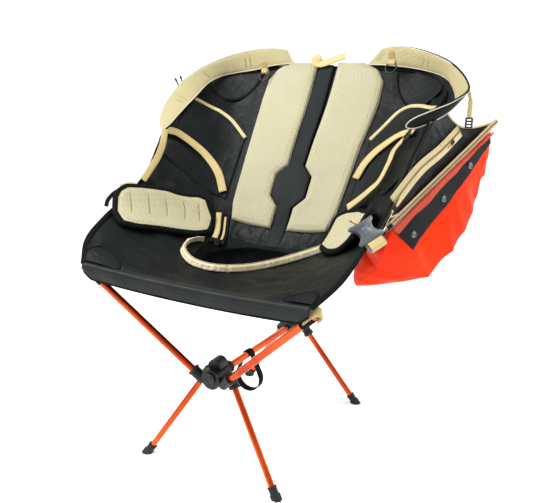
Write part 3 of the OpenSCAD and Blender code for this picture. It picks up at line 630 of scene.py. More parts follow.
# each moulded finish's second colour is its painted edge highlight mixed with rubbed wear
hub_finish = moulded("hub_plastic", linear(20, 22, 22), linear(74, 77, 78), spec=0.3)
rivet_finish = moulded("rivet_plastic", linear(26, 28, 29), linear(88, 90, 92), rough=0.36, spec=0.35)
black_plastic = moulded("black_plastic", linear(16, 17, 18), linear(70, 72, 74), rough=0.3, spec=0.4)
grey_plastic = moulded("grey_plastic", linear(100, 106, 110), linear(150, 155, 158), rough=0.34, spec=0.4)
foot_finish = rubber("foot_rubber", linear(34, 36, 37))
coil_finish = moulded("zip_coil", linear(140, 112, 66), linear(180, 150, 100), rough=0.4)
snap_finish = metal("snap_metal", linear(112, 112, 110), 0.28)
bare_metal = metal("bare_aluminium", linear(190, 192, 195), 0.35)
brown_thread = thread_finish("brown_thread", linear(112, 78, 40))
amber_thread = thread_finish("amber_thread", linear(150, 106, 50))
black_thread = thread_finish("black_thread", linear(44, 47, 49))
sand_thread = thread_finish("sand_thread", linear(196, 172, 118))
coral_thread = thread_finish("coral_thread", linear(224, 90, 64))

NODE_FINISH = {
    hub_finish: ["front_hub", "rear_hub"],
    rivet_finish: ["hub_rivets"],
    tube_finish: [
        "centre_tube", "front_left_pole", "front_right_pole", "back_left_lower_pole",
        "back_right_lower_pole", "back_left_upper_pole", "back_right_upper_pole",
        "front_left_leg", "front_right_leg", "rear_left_leg", "rear_right_leg",
    ],
    foot_finish: ["front_left_foot", "front_right_foot", "rear_left_foot", "rear_right_foot"],
    bare_metal: ["pole_ferrules"],
    black_plastic: ["pole_tip_caps", "left_gear_ring", "right_gear_ring"],
    black_web: ["shock_cords"],
}
for finish, names in NODE_FINISH.items():
    for n in names:
        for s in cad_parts[n].material_slots:
            s.material = finish

# ------------------------------------------------------------- sling cloth


SEAT_HOLLOW = 19  # depth of the dip behind the front hem
FOLD_LIMITS = (-9.0, 1.6)  # deepest fold and highest ridge of the cloth


def creases(u, v):
    """How far the sling's cloth stands off its smooth shape, in mm."""
    s, t = u * 290, v * 950
    out = 1.3 * ripple(s / 70, t / 70, 1) + 0.6 * ripple(s / 26, t / 26, 2)
    for corner in (-1, 1):
        x, y = s - corner * 262, t - 12
        r, a = np.hypot(x, y), np.arctan2(y, -corner * x)
        near = np.exp(-r / 110) * smooth(r / 40)
        out += 7.5 * near * (folds(a * 3.4, r / 300, 3 + corner) - 0.55)
    side = smooth((np.abs(u) - 0.5) / 0.2) * smooth((v - 0.18) / 0.15)
    out += side * 7.5 * (folds(s / 46 + t / 240, t / 170, 5) - 0.6)
    out += side * 2.2 * (folds(s / 60 - t / 90, t / 80 + s / 200, 8) - 0.5)
    seat = smooth((0.75 - np.abs(u)) / 0.3) * smooth((0.42 - v) / 0.1) * smooth(v / 0.06)
    out += seat * 4.0 * (folds(s / 150 + t / 120, t / 60, 6) - 0.55)
    band = smooth((0.44 - np.abs(u)) / 0.05) * smooth((v - 0.465) / 0.02) * smooth((0.57 - v) / 0.02)
    out += band * 2.4 * (folds(s / 22, t / 60, 7) - 0.6)
    out = np.clip(out, *FOLD_LIMITS)
    out = out - SEAT_HOLLOW * np.exp(-((u - 0.15) / 0.5) ** 2 - ((v - 0.15) / 0.1) ** 2) * smooth(v / 0.06)
    lip = lookup(np.clip(u, -MOUTH_U, MOUTH_U), LIP)
    return out * np.maximum(smooth(np.abs(v - lip) / 0.05), smooth((np.abs(u) - MOUTH_U) / 0.05))


def sling_grid():
    u = np.concatenate([
        np.linspace(-1, -MOUTH_U, 56)[:-1], np.linspace(-MOUTH_U, MOUTH_U, 73)[:-1],
        np.linspace(MOUTH_U, 1, 56)])
    low, gap, high = 50, 16, 110
    lip = lookup(np.clip(u, -MOUTH_U, MOUTH_U), LIP)
    a = np.linspace(0, 1, low + 1)[:-1, None] * lip
    b = mix(lip, BACK_START, np.linspace(0, 1, gap + 1)[:-1, None])
    c = np.broadcast_to(np.linspace(BACK_START, 1, high + 1)[:, None], (high + 1, len(u)))
    v = np.concatenate([a, b, c])
    u = np.broadcast_to(u, v.shape)
    keep = np.ones((v.shape[0] - 1, v.shape[1] - 1), bool)
    keep[low:low + gap, 55:127] = False
    return u, v, keep


u, v, keep = sling_grid()
base = lifted(u, v, np.zeros_like(u))
sling_cloth = cloth("sling_cloth", lifted(u, v, creases(u, v) + 0.6), black_nylon, 1.4, keep,
                    uv=arc_uv(base), slot="sling_fabric")
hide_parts("seat_panel", "left_side_panel", "right_side_panel", "back_panel")


def on_sling(rows, h, spacing=3.0, count=None):
    """An even path through [u, v] rows at height h, and the normals there."""
    p = np.asarray(rows, float)
    fine = curve(p, np.linspace(0, 1, 60 * len(p)))
    points = sling(fine[:, 0], fine[:, 1])
    s = np.concatenate([[0], np.cumsum(np.linalg.norm(np.diff(points, axis=0), axis=1))])
    n = count or max(3, int(s[-1] / spacing) + 1)
    at = np.linspace(0, s[-1], n)
    q = np.stack([np.interp(at, s, fine[:, i]) for i in range(fine.shape[1])], 1)
    rise = h if p.shape[1] == 2 else q[:, 2] + h
    return lifted(q[:, 0], q[:, 1], np.broadcast_to(rise, len(q))), sling_normal(q[:, 0], q[:, 1])


# Bound edges of the sling
binding = Build()
edge_u = 0.99
for rows in (
    [[-edge_u, v] for v in np.linspace(0.0, 1, 12)],
    [[edge_u, v] for v in np.linspace(0.0, 1, 12)],
    [[u, 0.995] for u in np.linspace(-edge_u, edge_u, 14)],
):
    path, face = on_sling(rows, 0.4, 4)
    ribbon(binding, path, face, 10, 4.2)
    for off in (-3.4, 3.4):
        t, s, n = frames(path, face)
        stitches(binding, path + s * off + n * 2.1, face, 3.6, slot=1)
binding.make("edge_binding", [black_tape, black_thread], slot="trim_fabric")

# ---------------------------------------------------------------- front hem


def hem_point(u, k):
    """Rolled hem: k from 0 on top of the seat to 1 at its lower edge."""
    e = sling(u, 0.0)
    drop = 27 * np.sqrt(np.clip((1 - np.abs(u)) / 0.1, 0.05, 1))
    y = lookup(k, [[0, 14], [0.2, 3], [0.3, -2.5], [0.42, -5.2], [0.7, -6.2], [0.93, -5.4], [1, -3.6]])
    z = lookup(k, [[0, 2.2], [0.2, 2.8], [0.3, 1.2], [0.42, -4], [0.7, -15], [0.93, -26], [1, -27]])
    z = np.where(z < 0, z * drop / 27, z)
    return e + np.stack([0 * y, y, z], -1)


uh, kh = np.meshgrid(np.linspace(-0.985, 0.985, 130), np.linspace(0, 1, 22))
hem = hem_point(uh, kh)
hem[..., 1] -= 0.7 * ripple(uh * 9, kh * 1.2, 11) + 0.35 * ripple(uh * 30, kh * 3, 12)
front_hem = cloth("front_hem_roll", hem[::-1], hem_nylon_painted_sheen, 1.0, slot="trim_fabric")
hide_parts("front_hem")
trim = Build()
us = np.linspace(-0.975, 0.975, 160)
cord(trim, hem_point(us, np.full_like(us, 0.97)) + [0, -0.6, -0.6], 1.7, 0, face=(0, -1, 0.2))
for k in (0.14, 0.5, 0.84):
    stitches(trim, hem_point(us, np.full_like(us, k)) + [0, -0.8 if k > 0.2 else 0, 0.2], (0, -1, 0.4), 3.4,
        slot=1)
trim.make("hem_trim", [black_tape, black_thread], slot="trim_fabric")

# ------------------------------------------------ round pole-end patches


def half_oval(u0, v0, ru, rv, up, seed):
    """Dome patch over a pole end, its flat side at v0."""
    ang = np.linspace(0, math.pi, 41)[None, :]
    rad = np.linspace(0, 1, 14)[:, None]
    u = u0 + ru * rad * np.cos(ang)
    v = v0 + up * rv * rad * np.sin(ang)
    h = 2.0 + 2.2 * (1 - rad ** 2) * np.ones_like(ang) + 0.5 * ripple(u * 30, v * 90, seed)
    h = h - 1.0 * smooth((rad - 0.9) / 0.1)
    return u, v, h


patches, seams = Build(), Build()
ovals = [(-0.745, 0.985, 0.2, 0.1, -1), (0.765, 0.985, 0.19, 0.105, -1), (-0.81, 0.012, 0.17, 0.1, 1),
    (0.86, 0.012, 0.11, 0.06, 1)]
for seed, (u0, v0, ru, rv, up) in enumerate(ovals):
    pu, pv, ph = half_oval(u0, v0, ru, rv, up, seed + 20)
    pu = np.clip(pu, -0.975, 0.975)
    grid = lifted(pu, pv, ph)
    flip = grid if up > 0 else grid[:, ::-1]
    patches.add(flip, grid_faces(*grid.shape[:2]), arc_uv(grid))
    for shrink, raised in ((1.0, True), (0.9, False)):
        ang = np.linspace(0.03, math.pi - 0.03, 24)
        ring = [[np.clip(u0 + ru * shrink * math.cos(a), -0.975, 0.975),
            v0 + up * rv * shrink * math.sin(a)] for a in ang]
        path, face = on_sling(ring, 2.2 if raised else 3.6, 3)
        if raised:
            sweep(seams, path, face, round_section(2.0, 10, 0.7))
        stitches(seams, path + face * (1.3 if raised else 0.4), face, 3.4, slot=1)
sleeve_patches = patches.make("pole_end_patches", [black_nylon], slot="trim_fabric")
thicken(sleeve_patches, 0.8)
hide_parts("sleeve_patches")
seams.make("patch_seams", [black_tape, black_thread], slot="trim_fabric")

# -------------------------------------------------- storage pocket and lip

LIP_PATH = [[-0.475, 0.39], [-0.505, 0.376], [-0.52, 0.345], [-0.49, 0.302], [-0.4, 0.265], [-0.27, 0.242],
            [-0.12, 0.252], [0, 0.294], [0.105, 0.345], [0.24, 0.4], [0.36, 0.435], [0.46, 0.452]]


def pocket_grid():
    """The pocket from its mouth down to the bottom of the bag."""
    us = np.linspace(-MOUTH_U, MOUTH_U, 60)
    front = lifted(us * 1.03, lookup(us, LIP) - 0.008, np.full(60, -1.5))
    back = sling(us[::-1], np.full(60, BACK_START + 0.004))
    rise = mix(float(lookup(MOUTH_U, LIP)), BACK_START, np.linspace(0, 1, 14)[1:-1])
    ends = [sling(np.full(12, sgn * (MOUTH_U + 0.014)), rise) for sgn in (-1, 1)]
    rim = np.concatenate([front, back, *ends])
    middle = np.array([0, -22, 386.0])
    a = np.arctan2(rim[:, 1] - middle[1], rim[:, 0] - middle[0])
    order = np.argsort(a)
    a, rim = a[order], rim[order]
    al = np.linspace(-math.pi, math.pi, 97)[:-1]
    mouth = np.stack([np.interp(al, a, rim[:, i], period=2 * math.pi) for i in range(3)], -1)
    tilt = math.radians(9)
    rows = []
    for s in np.linspace(0, 1, 34):
        phi = max(0.0, (s - 0.22) / 0.78) * math.pi / 2
        x = 124 * math.cos(phi) * np.cos(al)
        y = 74 * math.cos(phi) * np.sin(al)
        z = -76 * math.sin(phi) + 0 * al
        bowl = middle + np.stack([x, y * math.cos(tilt) - z * math.sin(tilt),
            y * math.sin(tilt) + z * math.cos(tilt)], -1)
        rows.append(mix(mouth, bowl, float(smooth(min(1.0, s / 0.22)))))
    grid = np.array(rows)
    centre = np.array([0, -22, 370.0])
    wob = 2.4 * (folds(al * 2.6, np.linspace(0, 1.6, 34)[:, None], 31) - 0.5)
    fade = smooth(np.linspace(0, 1, 34)[:, None] / 0.3) * smooth((1 - np.linspace(0, 1, 34)[:, None]) / 0.2)
    return grid + unit(grid - centre) * (wob * fade)[..., None]


grid = pocket_grid()
rows, cols = grid.shape[:2]
faces = grid_faces(rows, cols, wrap=True)[:, ::-1]
storage = piece("storage_pocket_bag", grid, faces, lining_nylon, uv=arc_uv(grid), slot="sling_fabric")
thicken(storage, 1.0)
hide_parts("storage_pocket")

lip = Build()
path, face = on_sling(LIP_PATH, 0, 2.2)
t, s, n = frames(path, face)
s = -s
x = np.cumsum(np.r_[0, np.linalg.norm(np.diff(path, axis=0), axis=1)])
wave = np.array([noise.noise(Vector((a / 9, 0,
    4))) for a in x]) * 2.6 + np.array([noise.noise(Vector((a / 26, 0, 9))) for a in x]) * 1.8
profile = [(-1.5, 1.2), (-2.0, 5.0), (-1.8, 9.0), (-0.6, 12.6), (0.4, 13.4), (1.6, 12.4), (3.0, 10.4),
    (4.2, 6.8), (5.0, 3.2), (5.2, 1.4)]
front = -np.sign((s[len(s) // 2] @ np.array([0, 1, 0])))
grid = np.stack([path + s * front * a + n * h + (s * front * 0.8 + n * 0.5)
    * (wave * smooth((a + 1) / 4))[:, None] for a, h in profile], 0)
lip.add(grid, grid_faces(*grid.shape[:2]), arc_uv(grid))
ridge_line = path + s * front * -0.9 + n * 12.2
cord(lip, ridge_line, 1.25, 1, face=(0, 0.3, 1), sides=8)
back = np.stack([path + s * front * a + n * h for a, h in ((-1.9, 11.0), (-2.3, 12.6), (-2.2, 14.6),
    (-1.6, 15.0))], 0)
lip.add(back, grid_faces(*back.shape[:2]), arc_uv(back), 0)
stitches(lip, path + s * front * 3.9 + n * 9.0, s * front + n, 3.2, slot=2)
zip_lip = lip.make("pocket_lip", [lip_tape, coil_finish, sand_thread], slot="zip_tape")
thicken(zip_lip, 0.7, 0)
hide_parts("pocket_zip_lip")

# ------------------------------------------------------------- padded parts


def edge_distance(points, outline):
    """Distance of flat points from a closed flat outline."""
    a, b = outline, np.roll(outline, -1, 0)
    best = np.full(len(points), 1e9)
    for p, q in zip(a, b):
        d = q - p
        t = np.clip(((points - p) @ d) / max(d @ d, 1e-9), 0, 1)
        best = np.minimum(best, np.linalg.norm(points - p - t[:, None] * d, axis=1))
    return best


def outline_of(grid):
    return np.concatenate([grid[0, :-1], grid[:-1, -1], grid[-1, :0:-1], grid[:0:-1, 0]])


def rounded(d, radius, height):
    x = np.clip(d / radius, 0, 1)
    return height * np.sqrt(np.clip(1 - (1 - x) ** 2, 0, 1))


PAD_OVER = 0.009


def pad_shape(side):
    v = np.concatenate([np.linspace(PAD_START, 0.612, 18)[:-1], np.linspace(0.612, 0.722, 34)[:-1],
        np.linspace(0.722, 1, 76)])
    a, b = lookup(v, PAD_IN), lookup(v, PAD_OUT)
    share = np.linspace(0, 1, 40)
    u = side * mix(a[:, None], b[:, None], share[None, :])
    return (u, np.broadcast_to(v[:, None], u.shape))


def above_top(u, v, h):
    """Sling surface carried straight on past its top edge."""
    tip = unit(sling(u, np.ones_like(v)) - sling(u, np.full_like(v, 0.985)))
    return lifted(u, np.minimum(v, 1), h) + tip * (950 * np.maximum(v - 1, 0))[..., None]


def pad_piece(name, side):
    u, v = pad_shape(side)
    v = v + PAD_OVER * smooth((v - 0.9) / 0.1)
    flat = above_top(u, v, np.zeros_like(u))
    uv = arc_uv(flat)
    d = edge_distance(uv.reshape(-1, 2), outline_of(uv)).reshape(u.shape)
    h = 2.6 + rounded(d, 15, 9.2) + 0.5 * ripple(u * 12, v * 26, 40 + side)
    h -= 1.1 * np.exp(-((d - 9) / 2.2) ** 2)
    top = above_top(u, v, h)
    low = above_top(u, v, np.full_like(u, 2.2))
    return closed_pad(name, top, low, uv, side, sand_mesh, "mesh_pad")


def closed_pad(name, top, low, uv, side, finish, slot, body="frame"):
    rows, cols = top.shape[:2]
    size = rows * cols
    faces = grid_faces(rows, cols)
    under = faces[:, ::-1] + size
    ring = np.concatenate([
        np.arange(cols - 1), np.arange(rows - 1) * cols + cols - 1,
        size - 1 - np.arange(cols - 1), (rows - 1 - np.arange(rows - 1)) * cols])
    nxt = np.roll(ring, -1)
    wall = np.stack([ring, ring + size, nxt + size, nxt], -1)
    faces = np.concatenate([faces, under, wall])
    if side < 0:
        faces = faces[:, ::-1]
    return piece(name, np.concatenate([top.reshape(-1, 3), low.reshape(-1, 3)]), faces, finish,
        uv=np.concatenate([uv.reshape(-1, 2)] * 2), slot=slot, body=body)


for name, side, node in (("left_pad", -1, "left_back_pad"), ("right_pad", 1, "right_back_pad")):
    ob = pad_piece(name, side)
    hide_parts(node)

# Spine between the pads with its eight-sided yoke
v = np.unique(np.concatenate([np.linspace(BACK_START, 1, 130), [0.612, 0.637, 0.694, 0.722]]))
share = np.linspace(-1, 1, 15)
a = lookup(v, STRIP_EDGE)
u = a[:, None] * share[None, :]
vv = np.broadcast_to(v[:, None], u.shape)
h = np.interp(v, [0.47, 0.56, 0.6, 1], [2.4, 3.2, 8.2, 8.6])[:, None] - 2.2 * np.abs(share[None, :]) ** 6
h = h + 0.35 * ripple(u * 40, vv * 40, 51)
strip_top = lifted(u, vv, h)
centre_strip = cloth("centre_spine", strip_top, strip_nylon, 1.6, slot="trim_fabric")
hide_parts("centre_strip")
spine_seams = Build()
for sgn in (-1, 1):
    rows_ = lifted(sgn * (a - 0.011), v, np.interp(v, [0.47, 0.56, 0.6, 1], [2.6, 3.3, 8.3, 8.7]))
    stitches(spine_seams, rows_, sling_normal(0 * v, v), 3.4)
spine_seams.make("spine_stitches", [black_thread], slot="trim_fabric")

# ------------------------------------------------------- shoulder straps

LEFT_LOW = [[-95, 338, 775], [-140, 322, 771], [-188, 311, 761], [-232, 302, 755], [-266, 284, 747],
            [-285, 252, 728], [-289, 210, 702], [-290, 165, 678], [-290, 125, 656], [-290, 92, 636]]
LEFT_HIGH = [[-119, 352, 806], [-155, 340, 810], [-200, 320, 806], [-246, 298, 796], [-288, 268, 777],
             [-315, 235, 752], [-333, 203, 726], [-342, 165, 692], [-337, 128, 660], [-313, 92, 628]]
RIGHT_LOW = [[97, 338, 772], [141, 323, 772], [195, 317, 768], [240, 305, 762], [285, 280, 752],
    [312, 245, 736],
             [330, 212, 716], [336, 185, 702], [326, 160, 687], [306, 135, 673], [271, 112, 657]]
RIGHT_HIGH = [[124, 352, 806], [159, 338, 811], [205, 318, 807], [250, 296, 797], [293, 268, 783],
    [325, 242, 766],
              [350, 214, 745], [358, 190, 728], [336, 160, 709], [306, 133, 694], [264, 110, 674]]


TOWARDS_FRONT = unit([0.48, -0.82, 0.3])
LEFT_STRAP_FORWARD = 19  # the loose half stands off the sling's corner


def strap_piece(name, low, high, inner, node, tacks, forward=0.0):
    k = np.linspace(0, 1, 150)
    shift = TOWARDS_FRONT * (forward * smooth((k - 0.4) / 0.22))[:, None]
    a, b = curve(low, k) + shift, curve(high, k) + shift
    slim = (1 - np.sqrt(np.clip(1 - np.clip((k - 0.945) / 0.055, 0, 1) ** 2, 0.06, 1)))[:, None] / 2
    a, b = mix(a, b, slim), mix(b, a, slim)
    middle = (a + b) / 2
    tangent = unit(np.gradient(middle, axis=0))
    face = unit(np.cross(b - a, tangent)) * inner
    share = np.linspace(0, 1, 19)
    x = 2 * share - 1
    end = smooth(np.minimum(k, 1 - k) / 0.035)
    crown = (1 - np.abs(x) ** 5)[None, :] * end[:, None]
    width = np.linalg.norm(b - a, axis=1)
    length = np.concatenate([[0], np.cumsum(np.linalg.norm(np.diff(middle, axis=0), axis=1))])
    line = a[:, None] + (b - a)[:, None] * share[None, :, None]
    uneven = 0.5 * ripple(length[:, None] / 40, x[None, :] * 1.2, 61 + inner)
    pressed = sum(1.6 * np.exp(-((length[:, None] - at) / 4.0) ** 2) for at in tacks)
    front = line + face[:, None] * ((1.2 + 3.6 * crown + uneven * crown - pressed * crown)[..., None])
    back = line - face[:, None] * ((1.2 + 2.6 * crown)[..., None])
    uv = np.stack([np.broadcast_to(x[None, :], crown.shape) * width[:, None] / 2,
        np.broadcast_to(length[:, None], crown.shape)], -1)
    build = Build()
    rows, cols = crown.shape
    faces = grid_faces(rows, cols)
    if inner > 0:
        faces = faces[:, ::-1]
    build.add(front, faces, uv, 0)
    build.add(back, faces[:, ::-1], uv, 1)
    ring = np.concatenate([np.arange(cols - 1), np.arange(rows - 1) * cols + cols - 1,
                           rows * cols - 1 - np.arange(cols - 1), (rows - 1 - np.arange(rows - 1)) * cols])
    nxt = np.roll(ring, -1)
    wall = np.stack([ring, ring + rows * cols, nxt + rows * cols, nxt], -1)
    if inner < 0:
        wall = wall[:, ::-1]
    build.faces += wall.tolist()
    build.which += [1] * len(wall)
    ob = build.make(name, [strap_mesh, gusset_nylon], slot="mesh_pad")
    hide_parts(node)
    # piping round the edge, black outside and pale inside
    rim = np.concatenate([line[:, 0], line[-1, 1:-1], line[::-1, -1], line[0, -2:0:-1]])
    face_rim = np.concatenate([face, np.repeat(face[-1:], 17, 0), face[::-1], np.repeat(face[:1], 17, 0)])
    keep_rim = even(np.hstack([rim, face_rim]), 3.0)
    p, f = keep_rim[:-1, :3], unit(keep_rim[:-1, 3:])
    outward = unit(np.cross(unit(np.roll(p, -1, 0) - np.roll(p, 1, 0)), f))
    if (outward[10] @ (p[10] - middle[10])) < 0:
        outward = -outward
    edge = Build()
    sweep(edge, p - f * 0.6 + outward * 0.4, f, [[-1.4, -2.0], [1.2, -2.0], [1.9, -1.0], [1.9, 1.0],
        [1.2, 1.7], [-1.4, 1.7]], True, 0)
    reach = np.array([length[np.argmin(np.linalg.norm(middle - q, axis=1))] for q in p]) / length[-1]
    over = (smooth((reach - 0.45) / 0.1) if inner < 0 else 0 * reach)[:, None]
    cord(edge, p + f * mix(1.5, -2.0, over) + outward * mix(-0.2, 0.5, over), 1.4, 1, closed=True, face=f,
        sides=8)
    edge.make(name + "_piping", [black_tape, cream_tape], slot="trim_fabric")
    bars = Build()
    for at in tacks:
        i = int(np.searchsorted(length, at))
        row = front[i, 4:12] + face[i] * 0.25
        stitches(bars, row, face[i], 0.9, 2.6, 1.1, 0.5)
    bars.make(name + "_bar_tacks", [brown_thread], slot="sand_webbing")
    return ob, front, face, length


strap_piece("left_strap", LEFT_LOW, LEFT_HIGH, 1, "left_shoulder_strap", (98, 110, 222, 318, 330),
    LEFT_STRAP_FORWARD)
right = strap_piece("right_strap", RIGHT_LOW, RIGHT_HIGH, -1, "right_shoulder_strap", (16, 24, 132, 144))

# Cloth between the right strap's lower edge and the sling's edge
k = np.linspace(0.28, 0.9, 50)
inner_edge = curve(RIGHT_LOW, k)
outer_edge = lifted(np.full(50, 0.985), np.linspace(1.0, 0.73, 50), np.full(50, 1.0))
share = np.linspace(0, 1, 12)
web_grid = inner_edge[:, None] * (1 - share[None, :, None]) + outer_edge[:, None] * share[None, :, None]
web_grid = web_grid + TOWARDS_FRONT * (-4 * np.sin(math.pi * share) * (1 + folds(k[:, None] * 9,
    0 * k[:, None], 65)))[..., None]
strap_web = cloth("right_strap_web", web_grid, black_nylon, 1.2, slot="sling_fabric")

# Cord ends on the left strap's outer edge
prongs = Build()
for root, tip in (([-330, 207, 729], [-341, 212, 747]), ([-335, 199, 722], [-350, 203, 742])):
    root, tip = np.array(root, float), np.array(tip, float)
    line = np.array([mix(root, tip, q) for q in np.linspace(0, 1, 10)])
    cord(prongs, line + TOWARDS_FRONT * 8, 1.5, 0)
    cord(prongs, line[6:] + TOWARDS_FRONT * 8, 2.3, 0)
prongs.make("strap_cord_ends", [black_plastic], slot="black_hardware")

# ----------------------------------------------------------- hip belt wings

LEFT_WING = [[0.48, 0.431], [0.525, 0.394], [0.69, 0.312], [0.78, 0.256], [0.87, 0.225], [0.975, 0.245],
             [1.045, 0.294], [1.06, 0.325], [1.045, 0.365], [0.99, 0.406], [0.885, 0.481], [0.7, 0.565],
             [0.615, 0.575],
             [0.51, 0.519]]
RIGHT_WING = [[0.43, 0.462], [0.55, 0.4], [0.7, 0.342], [0.88, 0.303], [0.98, 0.385], [0.83, 0.52],
    [0.68, 0.58],
              [0.55, 0.597], [0.46, 0.59]]
WING_INSET = 4.0
LEFT_SEAMS = [[[0.99, 0.344], [0.9, 0.288]], [[0.915, 0.388], [0.825, 0.331]], [[0.84, 0.431], [0.75, 0.369]],
              [[0.75, 0.481], [0.675, 0.413]], [[0.66, 0.525], [0.6, 0.45]]]
WING_H = 3.5


def soft_outline(corners, inset, count=170, blur=7.0):
    """Closed [u, v] outline with even points and corners rounded by blur mm."""
    scale = np.array([290.0, 950.0])
    q = np.asarray(corners, float) * scale
    q = np.vstack([q, q[:1]])
    s = np.concatenate([[0], np.cumsum(np.linalg.norm(np.diff(q, axis=0), axis=1))])
    at = np.linspace(0, s[-1], count, endpoint=False)
    q = np.stack([np.interp(at, s, q[:, i]) for i in range(2)], 1)
    along = unit(np.roll(q, -1, 0) - np.roll(q, 1, 0))
    q = q + np.stack([-along[:, 1], along[:, 0]], 1) * inset
    gain = np.exp(-2 * (math.pi * np.fft.fftfreq(count, s[-1] / count) * blur) ** 2)
    return np.fft.ifft(np.fft.fft(q, axis=0) * gain[:, None], axis=0).real / scale


def segment_distance(points, a, b):
    d = b - a
    t = np.clip(((points - a) @ d) / (d @ d), 0, 1)
    return np.linalg.norm(points - a - t[..., None] * d, axis=-1)


def wing_piece(name, side, corners, inset, lift, node, seams):
    rim = soft_outline(corners, inset)
    mid = rim.mean(0)
    ring = 1 - (1 - np.linspace(0.02, 1, 30)) ** 1.7
    q = mid + (rim - mid) * ring[:, None, None]

    def seat_height(p):
        return WING_H + lift * np.clip(2 * (p[..., 0] - 0.45) / 0.5 - 1, 0, 1.2) ** 1.5

    def place(p, h):
        return lifted(side * p[..., 0], p[..., 1], seat_height(p) + h)

    centre = place(mid, np.array(0.0))
    n0 = sling_normal(side * mid[0], mid[1])
    e1 = unit(place(rim[np.argmax(rim[:, 0])], np.array(0.0)) - centre)
    e1 = unit(e1 - n0 * (e1 @ n0))
    e2 = np.cross(n0, e1)

    def flat(p):
        g = place(p, np.zeros(p.shape[:-1])) - centre
        return np.stack([g @ e1, g @ e2], -1)

    uv = flat(q)
    d = edge_distance(uv.reshape(-1, 2), uv[-1]).reshape(uv.shape[:2])
    h = 4.0 + rounded(d, 15, 7.4) + 0.5 * ripple(uv[..., 0] / 26, uv[..., 1] / 26, 71)
    h -= 0.9 * np.exp(-((d - 9) / 2.0) ** 2)
    for a, b in seams:
        away = segment_distance(uv, flat(np.array(a)), flat(np.array(b)))
        h -= 0.8 * np.exp(-(away / 3.6) ** 2)
    top, low = place(q, h), place(q, np.zeros_like(h))
    rows, cols = h.shape
    size = rows * cols
    faces = grid_faces(rows, cols, wrap=True)
    last = np.arange(cols) + (rows - 1) * cols
    nxt = np.roll(last, -1)
    faces = faces.tolist() + (faces[:, ::-1] + size).tolist() + np.stack([last, last + size, nxt + size,
        nxt], -1).tolist()
    faces += [list(range(cols))[::-1], [i + size for i in range(cols)]]
    outward = np.cross(top[5, 1] - top[5, 0], top[6, 0] - top[5, 0]) @ n0
    if outward < 0:
        faces = [f[::-1] for f in faces]
    ob = piece(name, np.concatenate([top.reshape(-1, 3), low.reshape(-1, 3)]), faces, wing_mesh,
               uv=np.concatenate([uv.reshape(-1, 2)] * 2), slot="mesh_pad", body=node)
    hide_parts(node)

    closed = np.vstack([rim, rim[:1]])
    path = place(closed, np.full(len(closed), 4.0))
    face = sling_normal(side * closed[:, 0], closed[:, 1])
    both = even(np.hstack([path, face]), 3.0)
    p, f = both[:-1, :3], unit(both[:-1, 3:])
    t, out, n = frames(p, f, True)
    turn = 1 if (out[0] @ (p[0] - centre)) > 0 else -1
    section = np.array([[-7.0, 4.2], [-5.8, 6.4], [-2.2, 7.2], [2.4, 5.4], [4.6, 1.6], [4.4, -2.4],
        [2.0, -4.0],
                        [-3.6, -4.0], [-6.6, -1.0]]) * [turn, 1]
    edge = Build()
    sweep(edge, p, f, section, True, 0)
    for off, up in ((-4.4, 6.8), (2.6, 5.3)):
        stitches(edge, p + out * off * turn + n * up, f, 3.4, slot=1)
    edge.make(name + "_binding", [black_tape, black_thread], slot="trim_fabric", body=node)
    if seams:
        lines = Build()
        for a, b in seams:
            row = mix(np.array(a), np.array(b), np.linspace(0, 1, 24)[:, None])
            at = place(row, np.full(24, 4.0 + 7.4 + 0.3))
            stitches(lines, at, sling_normal(side * row[:, 0], row[:, 1]), 2.6, 2.2, 2.2, 0.9)
        lines.make(name + "_stitches", [amber_thread], slot="mesh_pad", body=node)


wing_piece("left_wing", -1, LEFT_WING, WING_INSET, 0, "left_hip_wing", LEFT_SEAMS)
wing_piece("right_wing", 1, RIGHT_WING, 0, 16, "right_hip_wing", ())

# ------------------------------------------------------------ stash pockets


def stash(name, side, top, node):
    u = np.linspace(0.5, 0.955, 60)
    v1 = curve(top, np.linspace(0, 1, 60))
    v1 = np.interp(u, v1[:, 0], v1[:, 1])
    k = np.linspace(0, 1, 46)[:, None]
    vv = mix(0.6, v1[None, :], k)
    uu = np.broadcast_to(u, vv.shape)
    puff = 2.0 + 3.0 * np.sin(math.pi * np.clip((uu - 0.5) / 0.455, 0, 1)) ** 0.6 * k
    puff = puff + 1.5 * (folds(uu * 7, vv * 9, 81 + side) - 0.5) * k
    grid = lifted(side * uu, vv, puff)
    if side < 0:
        grid = grid[:, ::-1]
    ob = cloth(name, grid, black_nylon, 0.9, slot="sling_fabric")
    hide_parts(node)
    line = np.stack([side * u, v1, puff[-1]], 1)
    path, face = on_sling(line, 0.4, 3)
    edge = Build()
    ribbon(edge, path, face, 8.5, 2.6)
    for off in (-2.6, 2.6):
        _, s, n = frames(path, face)
        stitches(edge, path + s * off + n * 1.3, face, 3.0, slot=1)
    edge.make(name + "_binding", [sand_tape, sand_thread], slot="sand_webbing")
    return ob


stash("left_stash", -1, [[0.5, 0.785], [0.7, 0.832], [0.955, 0.86]], "left_stash_pocket")
stash("right_stash", 1, [[0.5, 0.8], [0.66, 0.87], [0.8, 0.88], [0.955, 0.855]], "right_stash_pocket")

# ------------------------------------------------------------------ webbing


def strap_on_sling(name, rows, width, node=None, finish=None, thick=1.7, extra=(), body="frame"):
    build = Build()
    finish = finish or sand_web
    for r, w in [(rows, width), *extra]:
        path, face = on_sling(r, 0, 2.5)
        ribbon(build, path, face, w, thick)
        _, s, n = frames(path, face)
        for off in (-w / 2 + 1.6, w / 2 - 1.6):
            stitches(build, path + s * off + n * thick / 2, face, 2.8, 1.8, 0.5, 0.25, slot=1)
    ob = build.make(name, [finish, sand_thread], slot="sand_webbing", body=body)
    if node:
        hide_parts(node)
    return ob


